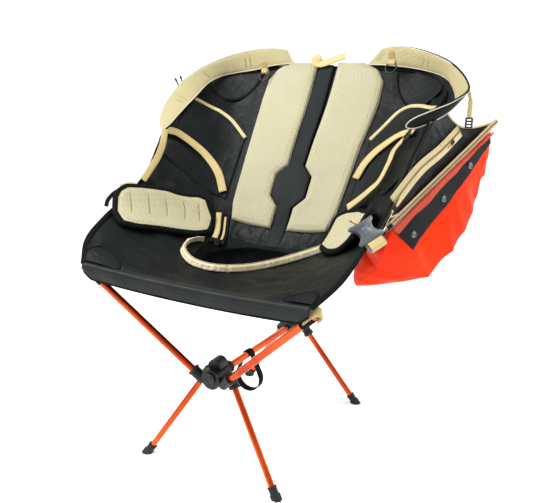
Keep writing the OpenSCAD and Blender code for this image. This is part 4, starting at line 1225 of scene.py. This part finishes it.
# Each row is u, v and the height over the sling
strap_on_sling(
    "left_web",
    [[-1.0, 0.655, 14], [-0.92, 0.69, 11], [-0.77, 0.692, 9], [-0.62, 0.66, 8], [-0.53, 0.615, 7]],
    18, "left_webbing",
    extra=[(
        [[-1.0, 0.655, 16], [-0.988, 0.61, 21.5], [-0.985, 0.565, 17], [-0.99, 0.5, 11], [-0.99, 0.43, 10]],
        15,
    )],
)
strap_on_sling(
    "wing_root_black", [[-0.475, 0.555, 4], [-0.4, 0.41, 4]], 30, finish=black_web,
    extra=[([[-0.43, 0.43, 6], [-0.37, 0.39, 7]], 9)],
)
strap_on_sling(
    "wing_root_sand", [[-0.505, 0.55, 6.5], [-0.435, 0.425, 6.5]], 12,
    extra=[([[-0.445, 0.545, 6.5], [-0.385, 0.43, 6.5]], 5)],
)
strap_on_sling(
    "wing_tip_sand", [[-1.0, 0.4, 3], [-1.03, 0.375, 4], [-1.05, 0.345, 5]], 11, body="left_hip_wing",
)
strap_on_sling(
    "wing_tip_black", [[-1.04, 0.335, 6], [-1.052, 0.31, 6], [-1.05, 0.275, 6], [-1.03, 0.25, 6]],
    9, finish=black_web, body="left_hip_wing",
)
strap_on_sling(
    "right_web",
    [[0.9, 0.775, 10], [0.76, 0.795, 10], [0.62, 0.77, 9], [0.54, 0.735, 8], [0.5, 0.69, 7]],
    18, "right_webbing",
)
strap_on_sling(
    "right_loose_web",
    [[0.86, 0.76, 15], [0.79, 0.735, 15], [0.79, 0.69, 15], [0.77, 0.64, 15], [0.7, 0.622, 17],
    [0.56, 0.6, 18]],
    17, "right_loose_webbing",
)

handle = Build()
path = even([
    [-34, 336, 786], [-33, 333, 791], [-30, 329, 786], [-24, 325, 777],
    [-12, 323, 775], [2, 323, 779], [22, 328, 787], [40, 335, 792],
], 2.5)
ribbon(handle, path, np.broadcast_to([0, -0.56, 0.83], path.shape), 25, 2.2)
t, s, n = frames(path, np.broadcast_to([0, -0.56, 0.83], path.shape))
for off in (-10.4, 10.4):
    stitches(handle, path + s * off + n * 1.1, n, 2.8, slot=1)
handle_piece = handle.make("handle_web", [sand_web, sand_thread], slot="sand_webbing")
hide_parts("grab_handle")

# -------------------------------------------------------------- pole ends

sleeves = Build()
for s_ in (-1, 1):
    for tip, base_ in (([250, -238, 403], [26, -180, 194]), ([234, 310, 736], [26, 180, 190])):
        tip, base_ = (np.array([s_ * q[0], q[1], q[2]], float) for q in (tip, base_))
        d = unit(base_ - tip)
        path = np.array([tip + d * k for k in np.linspace(8, 40, 14)])
        sweep(sleeves, path, (0.1, 0.9, 0.4), round_section(8.6, 24))
sleeve_piece = sleeves.make("pole_sleeves", [black_web, black_thread], slot="trim_fabric")
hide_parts("front_pole_sleeves", "back_pole_sleeves")

tabs = Build()
for s_ in (-1, 1):
    tip, base_ = np.array([s_ * 250, -238, 403.0]), np.array([s_ * 26, -180, 194.0])
    d = unit(base_ - tip)
    front_dir = np.array([-0.45 * s_, -0.75, 0.5])
    x = unit(front_dir - d * (front_dir @ d))
    loop = even([tip + d * 26 + x * 9.4, tip + d * 8 + x * 9.6, tip - d * 5 + x * 8, tip - d * 9.5,
                 tip - d * 5 - x * 8, tip + d * 10 - x * 9.4], 1.5)
    out = unit(loop - tip - d * 8)
    ribbon(tabs, loop, out, 19, 1.8)
    for k in (8, 16, 24):
        across = np.array([tip + d * k + x * 10.6 + np.cross(d, x) * w for w in np.linspace(-8, 8, 10)])
        stitches(tabs, across, x, 1.6, 2.0, 0.8, 0.4, slot=1)
tabs.make("pole_tabs", [sand_web, sand_thread], slot="sand_webbing")

# --------------------------------------------------------- rings and loops


RING_TOPS = ([-152, 298, 758], [168, 294, 778])


def ring_tab(build, p):
    """Folded webbing that holds a ring, sewn down above it."""
    y, z = np.array([0, 0.866, 0.5]), np.array([0, -0.5, 0.866])
    ring = [p + 4.7 * (y * math.cos(a) + z * math.sin(a)) for a in np.radians(np.linspace(60, -240, 22))]
    path = even([p + y * 4.4 + z * 26, p + y * 3.9 + z * 12, *ring, p + y * 1.6 + z * 12,
        p + y * 2.0 + z * 24], 1.2)
    t = unit(np.gradient(path, axis=0))
    ribbon(build, path, np.cross(t, [1.0, 0, 0]), 16, 1.2)
    row = np.array([p + y * 0.6 + z * 11 + np.array([x, 0, 0]) for x in np.linspace(-6.5, 6.5, 10)])
    stitches(build, row, -y, 1.1, 1.8, 1.2, 0.6, slot=1)


tabs = Build()
for p in RING_TOPS:
    ring_tab(tabs, np.array(p, float))
ring_tabs = tabs.make("ring_tab_webs", [sand_web, brown_thread], slot="sand_webbing")
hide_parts("ring_tabs")

# Tie loop on the centre tube
tube_front, tube_rear = np.array([0, -170, 201.0]), np.array([0, 168, 186.0])
loop_mid = mix(tube_front, tube_rear, (-48 + 170) / 338)
tube_dir = unit(tube_rear - tube_front)
r1, r2, c2 = 8.75, 28.9, np.array([2.0, -52.0])
gap = np.linalg.norm(c2)
lean = math.atan2(c2[1], c2[0])
open_a = math.acos((r1 - r2) / gap)
pts = [[r1 * math.cos(q), r1 * math.sin(q)] for q in np.linspace(lean + open_a, lean + 2 * math.pi - open_a,
    18)]
pts += [[c2[0] + r2 * math.cos(q), c2[1] + r2 * math.sin(q)] for q in np.linspace(lean - open_a,
    lean + open_a, 40)]
pts = np.array(pts)
up = np.cross([1, 0, 0], tube_dir)
up = up if up[2] > 0 else -up
ring3 = loop_mid + pts[:, :1] * np.array([1.0, 0, 0]) + pts[:, 1:] * up
ring3 = even(np.vstack([ring3, ring3[:1]]), 2.5)[:-1]
t = unit(np.roll(ring3, -1, 0) - np.roll(ring3, 1, 0))
loop = Build()
ribbon(loop, ring3, np.cross(t, tube_dir), 17.4, 1.7, closed=True)
n = np.cross(t, tube_dir)
low = np.argmin(ring3[:, 2])
for off in (-7, 7):
    seg = np.take(ring3, range(low - 6, low + 7), axis=0, mode="wrap")
    nn = np.take(n, range(low - 6, low + 7), axis=0, mode="wrap")
    stitches(loop, seg + tube_dir * off + nn * 0.9, nn, 2.4, slot=1)
tie = loop.make("tie_loop_web", [black_web, black_thread], slot="black_webbing", body="tie_loop")
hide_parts("tie_loop")

# --------------------------------------------------- gusset, bag and zips

RIDGE_NEAR, RIDGE_FAR = np.array([275, 12, 483.0]), np.array([398, 300, 656.0])
RIDGE_DIR = unit(RIDGE_FAR - RIDGE_NEAR)
ZIP_SIDE = unit(np.cross(RIDGE_DIR, [0, 0, 1]))
ZIP_UP = np.cross(ZIP_SIDE, RIDGE_DIR)
GUSSET_OUT = unit([1, -0.28, 0])
GUSSET_SAG = 0.13  # dip of its far edge, as a share of its length


def gusset(s, t):
    s, t = np.broadcast_arrays(np.asarray(s, float), np.asarray(t, float))
    t = t - GUSSET_SAG * np.sin(math.pi * np.clip(s, 0, 1)) ** 0.8 * smooth((t - 0.6) / 0.4)
    root = lifted(np.ones_like(t), mix(0.42, 0.85, t), np.full_like(t, -3)) + [3.5, 0, 0]
    rim = mix(RIDGE_NEAR, RIDGE_FAR, np.maximum(t, 0)[..., None]) + [-9.6, 0, 4]
    puff = 6 * np.sin(math.pi * np.maximum(t, 0)) * np.sin(np.radians(300 * np.clip(s, 0, 0.6)))
    tuck = lifted(1 + np.minimum(s, 0) * 0.9, mix(0.42, 0.85, t), -3 - 9 * smooth(-s / 0.08))
    out = mix(root, rim, np.maximum(s, 0)[..., None]) + puff[..., None] * GUSSET_OUT
    return np.where(s[..., None] < 0, mix(root, tuck, smooth(-s / 0.04)[..., None]), out)


def gusset_normal(s, t):
    d = 0.01
    return unit(np.cross(gusset(s + d, t) - gusset(s - d, t), gusset(s, t + d) - gusset(s, t - d)))


def off_gusset(s, t, h):
    return gusset(s, t) + np.asarray(h, float)[..., None] * gusset_normal(s, t)


gs, gt = np.meshgrid(np.linspace(-0.18, 1, 66), np.linspace(-0.22, 1, 120))
sag = 3.0 * (folds(gt * 7 + gs * 2.2, gs * 1.6, 91) - 0.55) + 1.2 * ripple(gt * 20, gs * 7, 92)
sag = sag * np.sin(math.pi * np.clip(gs, 0, 1)) ** 0.7 * 0.8
gusset_grid = off_gusset(gs, gt, sag)
gusset_sheet = cloth("gusset_cloth", gusset_grid, gusset_nylon, 1.2, slot="sling_fabric")
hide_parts("side_gusset")
gusset_trim = Build()
for tt in (0.0, 1.0):
    s_ = np.linspace(0, 1, 40)
    path = gusset(s_, np.full(40, tt))
    sweep(gusset_trim, path, gusset_normal(s_, np.full(40, tt)), round_section(1.9, 10), False, 0)
s_ = np.linspace(0.24, 0.98, 50)
path = off_gusset(s_, 0.16 * s_ ** 2.2, np.full(50, 1.4))
sweep(gusset_trim, path, gusset_normal(s_, 0.16 * s_ ** 2.2), round_section(1.5, 10), False, 0)
gusset_trim.make("gusset_piping", [sand_tape], slot="zip_tape")

BAG = [
    [[279, 20, 484], [337, 156, 568], [389, 282, 643]],
    [[348, 58, 390], [380, 176, 472], [384, 278, 566]],
    [[196, 62, 348], [248, 183, 426], [306, 292, 514]],
    [[214, 62, 425], [268, 185, 515], [335, 296, 596]],
]


def bag_corner(k, t):
    return curve(BAG[k], t)


def bag_middle(t):
    return sum(bag_corner(k, t) for k in range(4)) / 4


def bag_surface(k, s, t):
    """Side k of the bag, s across it and t along it, bulged outwards."""
    p = mix(bag_corner(k, t), bag_corner((k + 1) % 4, t), s[..., None])
    c = bag_middle(t)
    return p + (p - c) * (0.1 * np.sin(math.pi * s))[..., None]


def bag_shell():
    n = 26
    ts = np.linspace(0, 1, 110)
    s = np.tile(np.linspace(0, 1, n + 1)[:-1], 4)
    k = np.repeat(np.arange(4), n)
    rows = []
    for t in ts:
        ring = np.array([bag_surface(kk, np.array(ss), np.array(t)) for kk, ss in zip(k, s)])
        rows.append(ring)
    grid = np.array(rows)
    centre = np.array([bag_middle(np.array(t)) for t in ts])[:, None]
    out = unit(grid - centre)
    q = (k + s)[None, :] * np.ones((len(ts), 1))
    x = q * 110
    y = ts[:, None] * 360 * np.ones_like(q)
    pinned = np.minimum(np.abs(((q + 0.5) % 4) - 0.5), 1.0)
    amp = smooth(pinned / 0.6)
    fold = 5.0 * (folds(y / 70 + x / 260, x / 130, 101) - 0.55) + 1.6 * (folds(y / 44 - x / 90, x / 80,
        102) - 0.5)
    sag_ = 5.0 * ripple(x / 80, y / 90, 103) + fold
    belly = 20 * np.exp(-(ts / 0.16) ** 2)[:, None] * np.where(q > 2,
        np.sin(math.pi * np.clip(q - 2, 0, 1)), 0)
    grid = grid + out * (np.clip(sag_, -7, 5) * amp + belly)[..., None]
    grid[..., 2] -= 3.0 * amp * np.sin(math.pi * ts)[:, None]
    return grid, np.stack([x, y], -1), centre


bag_grid, bag_uv, bag_mid = bag_shell()
bag = Build()
rows, cols = bag_grid.shape[:2]
bag.add(bag_grid, grid_faces(rows, cols, wrap=True)[:, ::-1], bag_uv)
for end, sgn in ((0, 1), (rows - 1, -1)):
    ring = bag_grid[end]
    mid = ring.mean(0)
    out_dir = unit((bag_mid[0, 0] - bag_mid[-1, 0]) * sgn)
    rings = []
    for k, r in enumerate(np.linspace(1, 0.04, 16)):
        rr = mid + (ring - mid) * r
        puff_ = (17 if sgn > 0 else 9) * (1 - r ** 3) + 2.5 * (folds(rr[:, 0] / 40, rr[:, 2] / 26,
            111 + end) - 0.5) * (1 - r ** 4)
        rings.append(rr + out_dir * puff_[:, None])
    cap = np.array(rings)
    f = grid_faces(16, cols, wrap=True)
    flat_uv = np.stack([(cap - mid) @ unit(np.cross(out_dir, [0, 0, 1])), (cap - mid)[..., 2]], -1)
    bag.add(cap, f if sgn > 0 else f[:, ::-1], flat_uv)
    bag.faces.append([bag.n - cols + j for j in (range(cols) if sgn > 0 else range(cols - 1, -1, -1))])
    bag.which.append(0)
bag_piece = bag.make("bag_shell", [orange_cloth], slot="bag_fabric")
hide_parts("gear_bag")


def bag_out(t):
    a = bag_corner(0, t)
    n = unit(np.cross(np.broadcast_to(RIDGE_DIR, a.shape), bag_corner(1, t) - a))
    sign = np.where(np.sum(n * (bag_middle(t) - a), -1, keepdims=True) > 0, -1, 1)
    return n * sign


def bag_face(s, t, h):
    p = mix(bag_corner(0, t), bag_corner(1, t), s[..., None])
    return p + (p - bag_middle(t)) * (0.1 * np.sin(math.pi * s))[..., None] + h[..., None] * bag_out(t)


def bag_band(name, s0, s1, t0, t1, h, finish, slot, node, wavy, seed):
    t, edge = np.meshgrid(np.linspace(t0, t1, 130), np.linspace(1, 0, 14), indexing="ij")
    s = mix(mix(*s0, t), mix(*s1, t), edge) + wavy * ripple(t * 9, 0 * t, seed) * edge
    hh = h + 1.0 + 1.1 * ripple(t * 12, s * 4, seed + 1)
    grid = bag_face(s, t, hh)
    ob = cloth(name, grid[:, ::-1], finish, 1.1, slot=slot)
    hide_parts(node)
    return grid


strip_grid = bag_band("snap_band", (0.09, 0.06), (0.42, 0.27), 0.0, 0.97, 4.2, strip_nylon, "trim_fabric",
    "snap_strip", 0.03, 121)
welt_grid = bag_band("bag_welt_tape", (-0.01, -0.01), (0.1, 0.07), 0.0, 1.0, 5.2, coral_cloth, "coral_tape",
    "bag_welt", 0.03, 131)
welt = Build()
for row in (2, 11):
    stitches(welt, welt_grid[:, row] + bag_out(np.linspace(0, 1, 130)) * 0.6,
        bag_out(np.linspace(0, 1, 130)), 3.2)
for row in (1, 12):
    stitches(welt, strip_grid[:, row] + bag_out(np.linspace(0, 1, 130)) * 0.6,
        bag_out(np.linspace(0, 1, 130)), 3.2, slot=1)
welt.make("welt_stitches", [coral_thread, black_thread], slot="coral_tape")

snaps = Build()
for t in (0.07, 0.38, 0.7):
    tt, ss = np.array(t), np.array(0.3 - 0.11 * t)
    n = bag_out(tt)
    p = bag_face(ss, tt, np.array(5.0))
    lathe(snaps, p, n, [[8.2, -0.4], [8.2, 0.4], [7.4, 0.7], [0.3, 0.7]], 28, 1)
    lathe(snaps, p, n, [[6.2, 0], [6.4, 0.8], [5.6, 1.8], [4.2, 2.1], [3.4, 1.6], [3.0, 0.9], [2.2, 0.8],
        [1.8, 1.9], [0.3, 2.2]], 28)
snap_piece = snaps.make("snap_caps", [snap_finish, black_plastic], slot="snap_metal")
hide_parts("snap_fasteners")


def zip_teeth(build, path, face, slot, pitch=2.4, width=4.6, rise=1.1):
    both = even(np.hstack([path, np.broadcast_to(face, path.shape)]), pitch)
    t, s, n = frames(both[:, :3], unit(both[:, 3:]))
    for i in range(len(both)):
        c = both[i, :3] + s[i] * (0.5 if i % 2 else -0.5) + n[i] * rise * 0.3
        brick(build, c, [s[i], t[i], n[i]], [width, pitch * 0.62, rise], 0.35, slot)


main = Build()
line = np.array([mix(RIDGE_NEAR, RIDGE_FAR, k) + ZIP_UP * 8 for k in np.linspace(0, 1, 80)])
wob = np.array([noise.noise(Vector((k * 5, 3, 1))) for k in np.linspace(0, 1, 80)])[:, None]
line = line + ZIP_SIDE * wob * 0.8
ribbon(main, line, np.broadcast_to(ZIP_SIDE, line.shape), 13, 1.3, 0)
zip_teeth(main, line + ZIP_SIDE * 1.0, ZIP_SIDE, 1)
for off in (-5.2, 5.2):
    stitches(main, line + ZIP_UP * off + ZIP_SIDE * 0.7, ZIP_SIDE, 3.0, slot=2)
main_zip = main.make("main_zip_tape", [sand_tape, coil_finish, sand_thread], slot="zip_tape")
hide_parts("main_zip")

zip_a = off_gusset(np.array(0.1), np.array(0.12), np.array(4.2))
zip_b = off_gusset(np.array(0.56), np.array(0.82), np.array(4.2))
pz_dir = unit(zip_b - zip_a)
pz_n = gusset_normal(np.array(0.33), np.array(0.47))
pz_n = unit(pz_n - pz_dir * (pz_n @ pz_dir))
pz_side = np.cross(pz_dir, pz_n)
POCKET_ZIP = [[291, -10, 545], [313, 60, 594], [333, 126, 622], [348, 195, 652]]
pocket = Build()
line = curve(POCKET_ZIP, np.linspace(0, 1, 60))
pz_n = unit(pz_n + TOWARDS_FRONT)
line = even(line, 3.5)
ribbon(pocket, line, np.broadcast_to(pz_n, line.shape), 24, 1.3, 0)
zip_teeth(pocket, line + pz_n * 0.9, pz_n, 1, 2.2, 3.6)
for off in (-10, -5, 5, 10):
    stitches(pocket, line + pz_side * off + pz_n * 0.7, pz_n, 3.0, slot=2)
for end in (line[0], line[-1]):
    stitches(pocket, [end + pz_side * x + pz_n * 0.8 for x in np.linspace(-10, 10, 12)], pz_n, 1.0, 2.4,
        1.0, 0.5, slot=2)
pocket_zip = pocket.make("pocket_zip_tape", [sand_tape, coil_finish, sand_thread], slot="zip_tape")
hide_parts("pocket_zip")


def slider_piece(name, p, side, along, out, length, node, finish_pull):
    """Zip slider: two-plate body, bridge, ring and a corded pull."""
    build = Build()
    axes = [side, along, out]
    brick(build, p + out * 1.0, axes, [8.4, 11, 1.1], 0.4)
    brick(build, p + out * 2.9, axes, [7.4, 10, 1.0], 0.4)
    brick(build, p + out * 2.0 + along * 3.2, axes, [2.2, 3.2, 2.2], 0.4)
    for sgn in (-1, 1):
        brick(build, p + out * 2.2 + side * sgn * 3.7 - along * 0.6, axes, [0.9, 8.6, 2.2], 0.3)
    bridge = even([p + out * 3.2 + along * 3.6, p + out * 5.0 + along * 2.2, p + out * 5.2 - along * 1.6,
        p + out * 3.4 - along * 3.4], 0.8)
    ribbon(build, bridge, side, 1.2, 2.4)
    pull = even([p + out * 4.2 - along * 1, p + out * 4.6 - along * 6, p + out * 4.0 - along * 10], 1.0)
    ribbon(build, pull, np.broadcast_to(out, pull.shape), 4.6, 1.1)
    cordline = even([p + out * 4.0 - along * 9, p + out * 3.6 - along * (length * 0.6),
        p + out * 3.4 - along * (length - 3)], 1.2)
    cord(build, cordline, 1.0, 1)
    end = p + out * 3.4 - along * (length - 6)
    brick(build, end, axes, [4.2, 11, 3.0], 0.9, 1)
    ob = build.make(name, [black_plastic, finish_pull], slot="black_hardware", body=node)
    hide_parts(node)
    return ob


p = mix(RIDGE_NEAR, RIDGE_FAR, 0.02) + ZIP_UP * 8 + ZIP_SIDE * 2.2
slider_piece("main_slider", p, ZIP_UP, RIDGE_DIR, ZIP_SIDE, 30, "main_zip_slider", black_web)
p = mix(zip_a, zip_b, 0.94) + pz_n * 3.4
slider_piece("pocket_slider", p, pz_side, pz_dir, pz_n, 20, "pocket_zip_slider", sand_web)

# ------------------------------------------------------------ hard hardware


def local_axes(u, v, turn):
    n = sling_normal(np.array(u), np.array(v))
    theta, phi = math.acos(n[2]), math.atan2(n[1], n[0])
    m = Matrix.Rotation(phi, 3, "Z") @ Matrix.Rotation(theta, 3, "Y") @ Matrix.Rotation(math.radians(turn),
        3, "Z")
    return np.array(m).T


def extruded(build, outline, height, centre, axes, bevel=0.8, slot=0, dome=0.0):
    """A flat outline given thickness, with bevelled rims."""
    outline = np.asarray(outline, float)
    mid = outline.mean(0)
    layers = []
    for inset, z in ((bevel, 0), (0, bevel), (0, height - bevel), (bevel, height),
        (bevel * 3, height + dome)):
        d = outline - mid
        scale = 1 - inset / np.maximum(np.linalg.norm(d, axis=1, keepdims=True), 1)
        layers.append(np.hstack([mid + d * scale, np.full((len(outline), 1), z)]))
    points = np.concatenate(layers)
    n, m = len(layers), len(outline)
    faces = grid_faces(n, m, wrap=True).tolist() + [list(range(m))[::-1], [(n - 1) * m + j for j in range(m)]]
    return build.add(np.asarray(centre) + points @ np.asarray(axes), faces, None, slot)


buckle = Build()
p = np.array([281, -110, 513.0])
buckle_y = unit([0.72, -0.1, -0.69])
buckle_x = unit(np.cross(buckle_y, [0.56, -0.48, 0.66]))
axes = np.array([buckle_x, buckle_y, np.cross(buckle_x, buckle_y)])
half_outline = [[9, -20], [18, -20.5], [25.5, -21], [26, -16], [18.5, -10], [15.5, -2], [18.5, 6], [26, 11],
                [25.5, 16.5], [18, 17], [9, 17]]
outline = [[-x, y] for x, y in half_outline[::-1]] + half_outline
outline = curve(np.vstack([outline, outline[:1]]), np.linspace(0, 1, 90))[:-1]
extruded(buckle, outline, 3.0, p + axes[2] * 1.0, axes, 0.8, dome=0.6)
extruded(buckle, outline, 2.4, p - axes[2] * 4, axes, 0.6)
for sgn in (-1, 1):
    for y, length in ((-16.5, 7), (11.5, 8)):
        brick(buckle, p + axes[0] * sgn * 20 + axes[1] * y, axes, [5.0, length, 5.6], 0.8)
    brick(buckle, p + axes[0] * sgn * 18.5 + axes[1] * 25, axes, [3.0, 16, 5.6], 0.9)
brick(buckle, p + axes[1] * 31.5, axes, [40, 3.4, 5.6], 1.0)
brick(buckle, p + axes[1] * 18, axes, [40, 3.4, 5.6], 1.0)
brick(buckle, p - axes[1] * 3 + axes[2] * 4.4, axes, [15, 14, 0.9], 0.4)
bar = even([p + axes[1] * y + axes[2] * z for y, z in ((19, 3.6), (25, 4.4), (32, 4.2), (35, 0.5),
    (32, -4))], 1.5)
ribbon(buckle, bar, unit(bar - (p + axes[1] * 26)), 33, 1.5, 1)
root = lifted(np.array(0.84), np.array(0.4), np.array(27.0))
lead = even([root, mix(root, p - axes[1] * 18, 0.55) + axes[2] * 2, p - axes[1] * 14], 2.0)
ribbon(buckle, lead, np.broadcast_to(axes[2], lead.shape), 27, 1.6, 1)
buckle_piece = buckle.make("buckle_socket", [grey_plastic, sand_web], slot="buckle_plastic",
    body="right_hip_wing")
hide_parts("hip_buckle")

locks = Build()
for u_, v_, h_, turn in ((-0.985, 0.61, 15, -30), (0.9, 0.74, 16, 60)):
    axes = local_axes(u_, v_, turn)
    p = lifted(np.array(u_), np.array(v_), np.array(float(h_)))
    for x in (-12.4, 12.4):
        brick(locks, p + axes[0] * x + axes[2] * 2.4, axes, [3.0, 22, 4.8], 0.9)
    for y in (-9.6, 0, 9.6):
        brick(locks, p + axes[1] * y + axes[2] * 2.4, axes, [25, 3.0, 4.2], 0.9)
lock_piece = locks.make("ladder_locks", [black_plastic], slot="black_hardware")
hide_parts("strap_adjusters")

clip = Build()
top = np.array([362, 205, 708.0])
tape = even([top + [0, 0, 2], top + [0.4, -0.5, -10], top + [-0.4, 0.4, -22], top + [0, 0, -34]], 1.5)
ax = np.array([[0.86, 0.51, 0], [-0.51, 0.86, 0], [0, 0, 1.0]])
ribbon(clip, tape, np.broadcast_to(ax[1], tape.shape), 9, 1.6, 1)
for x in (-6, 6):
    brick(clip, top + ax[0] * x + [0, 0, -41], ax, [2.8, 4.0, 20], 0.8)
for z in (-32, -38, -44, -50):
    brick(clip, top + [0, 0, z], ax, [13.0, 4.0, 2.8], 0.7)
clip_piece = clip.make("clip_on_tape", [black_plastic, sand_web], slot="black_hardware", body="hanging_clip")
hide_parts("hanging_clip")
clip_root = Build()
line = even([[351, 214, 742], [355, 211, 730], [360, 207, 716], top + [0, 0, 1]], 1.5)
ribbon(clip_root, line, np.broadcast_to(ax[1], line.shape), 6, 1.6)
clip_root.make("clip_tape_root", [sand_web], slot="sand_webbing")

# ---------------------------------------------------------- floor and light


def stage_mesh(name, points, faces, finish):
    mesh = bpy.data.meshes.new(name)
    mesh.from_pydata(points, [], faces)
    mesh.materials.append(finish)
    mesh.polygons.foreach_set("use_smooth", [True] * len(mesh.polygons))
    ob = bpy.data.objects.new(name, mesh)
    scene.collection.objects.link(ob)
    return ob


paper_wall = Finish("paper_wall", 0.95, Specular_IOR_Level=0.0, Emission_Color=(1, 1, 1, 1),
    Emission_Strength=0.6)
paper_wall.colour((0.9, 0.9, 0.9, 1))
paper = Finish("paper", 0.95, Specular_IOR_Level=0.0, Emission_Color=(1, 1, 1, 1), Emission_Strength=0.5)
paper.colour(paper.blend(paper.spread(paper.noise(3, 2), 0.3, 0.7), (0.9, 0.9, 0.9, 1),
    (0.88, 0.88, 0.88, 1)))
stage_mesh("backdrop", [(-90, 60, -1), (90, 60, -1), (90, 60, 40), (-90, 60, 40)], [(0, 1, 2, 3)],
    paper_wall.material)
stage_mesh("floor", [(-90, -90, 0), (90, -90, 0), (90, 90, 0), (-90, 90, 0)], [(0, 1, 2, 3)], paper.material)

world = bpy.data.worlds.new("studio")
world.use_nodes = True
world.node_tree.nodes["Background"].inputs["Color"].default_value = (1, 1, 1, 1)
world.node_tree.nodes["Background"].inputs["Strength"].default_value = 0.64
scene.world = world


def soft_box(name, spot, aim, size, power):
    data = bpy.data.lights.new(name, "AREA")
    data.shape = "RECTANGLE"
    data.size, data.size_y = size
    data.energy = power
    ob = bpy.data.objects.new(name, data)
    scene.collection.objects.link(ob)
    ob.location = spot
    ob.rotation_mode = "QUATERNION"
    ob.rotation_quaternion = (Vector(aim) - Vector(spot)).to_track_quat("-Z", "Y")
    return ob


soft_box("key", (-1.2, -1.0, 2.4), (0, 0, 0.4), (1.0, 1.0), 62)
soft_box("rim", (1.6, 1.2, 1.9), (0.1, 0, 0.5), (0.6, 1.4), 26)
scene.view_settings.view_transform = "Standard"
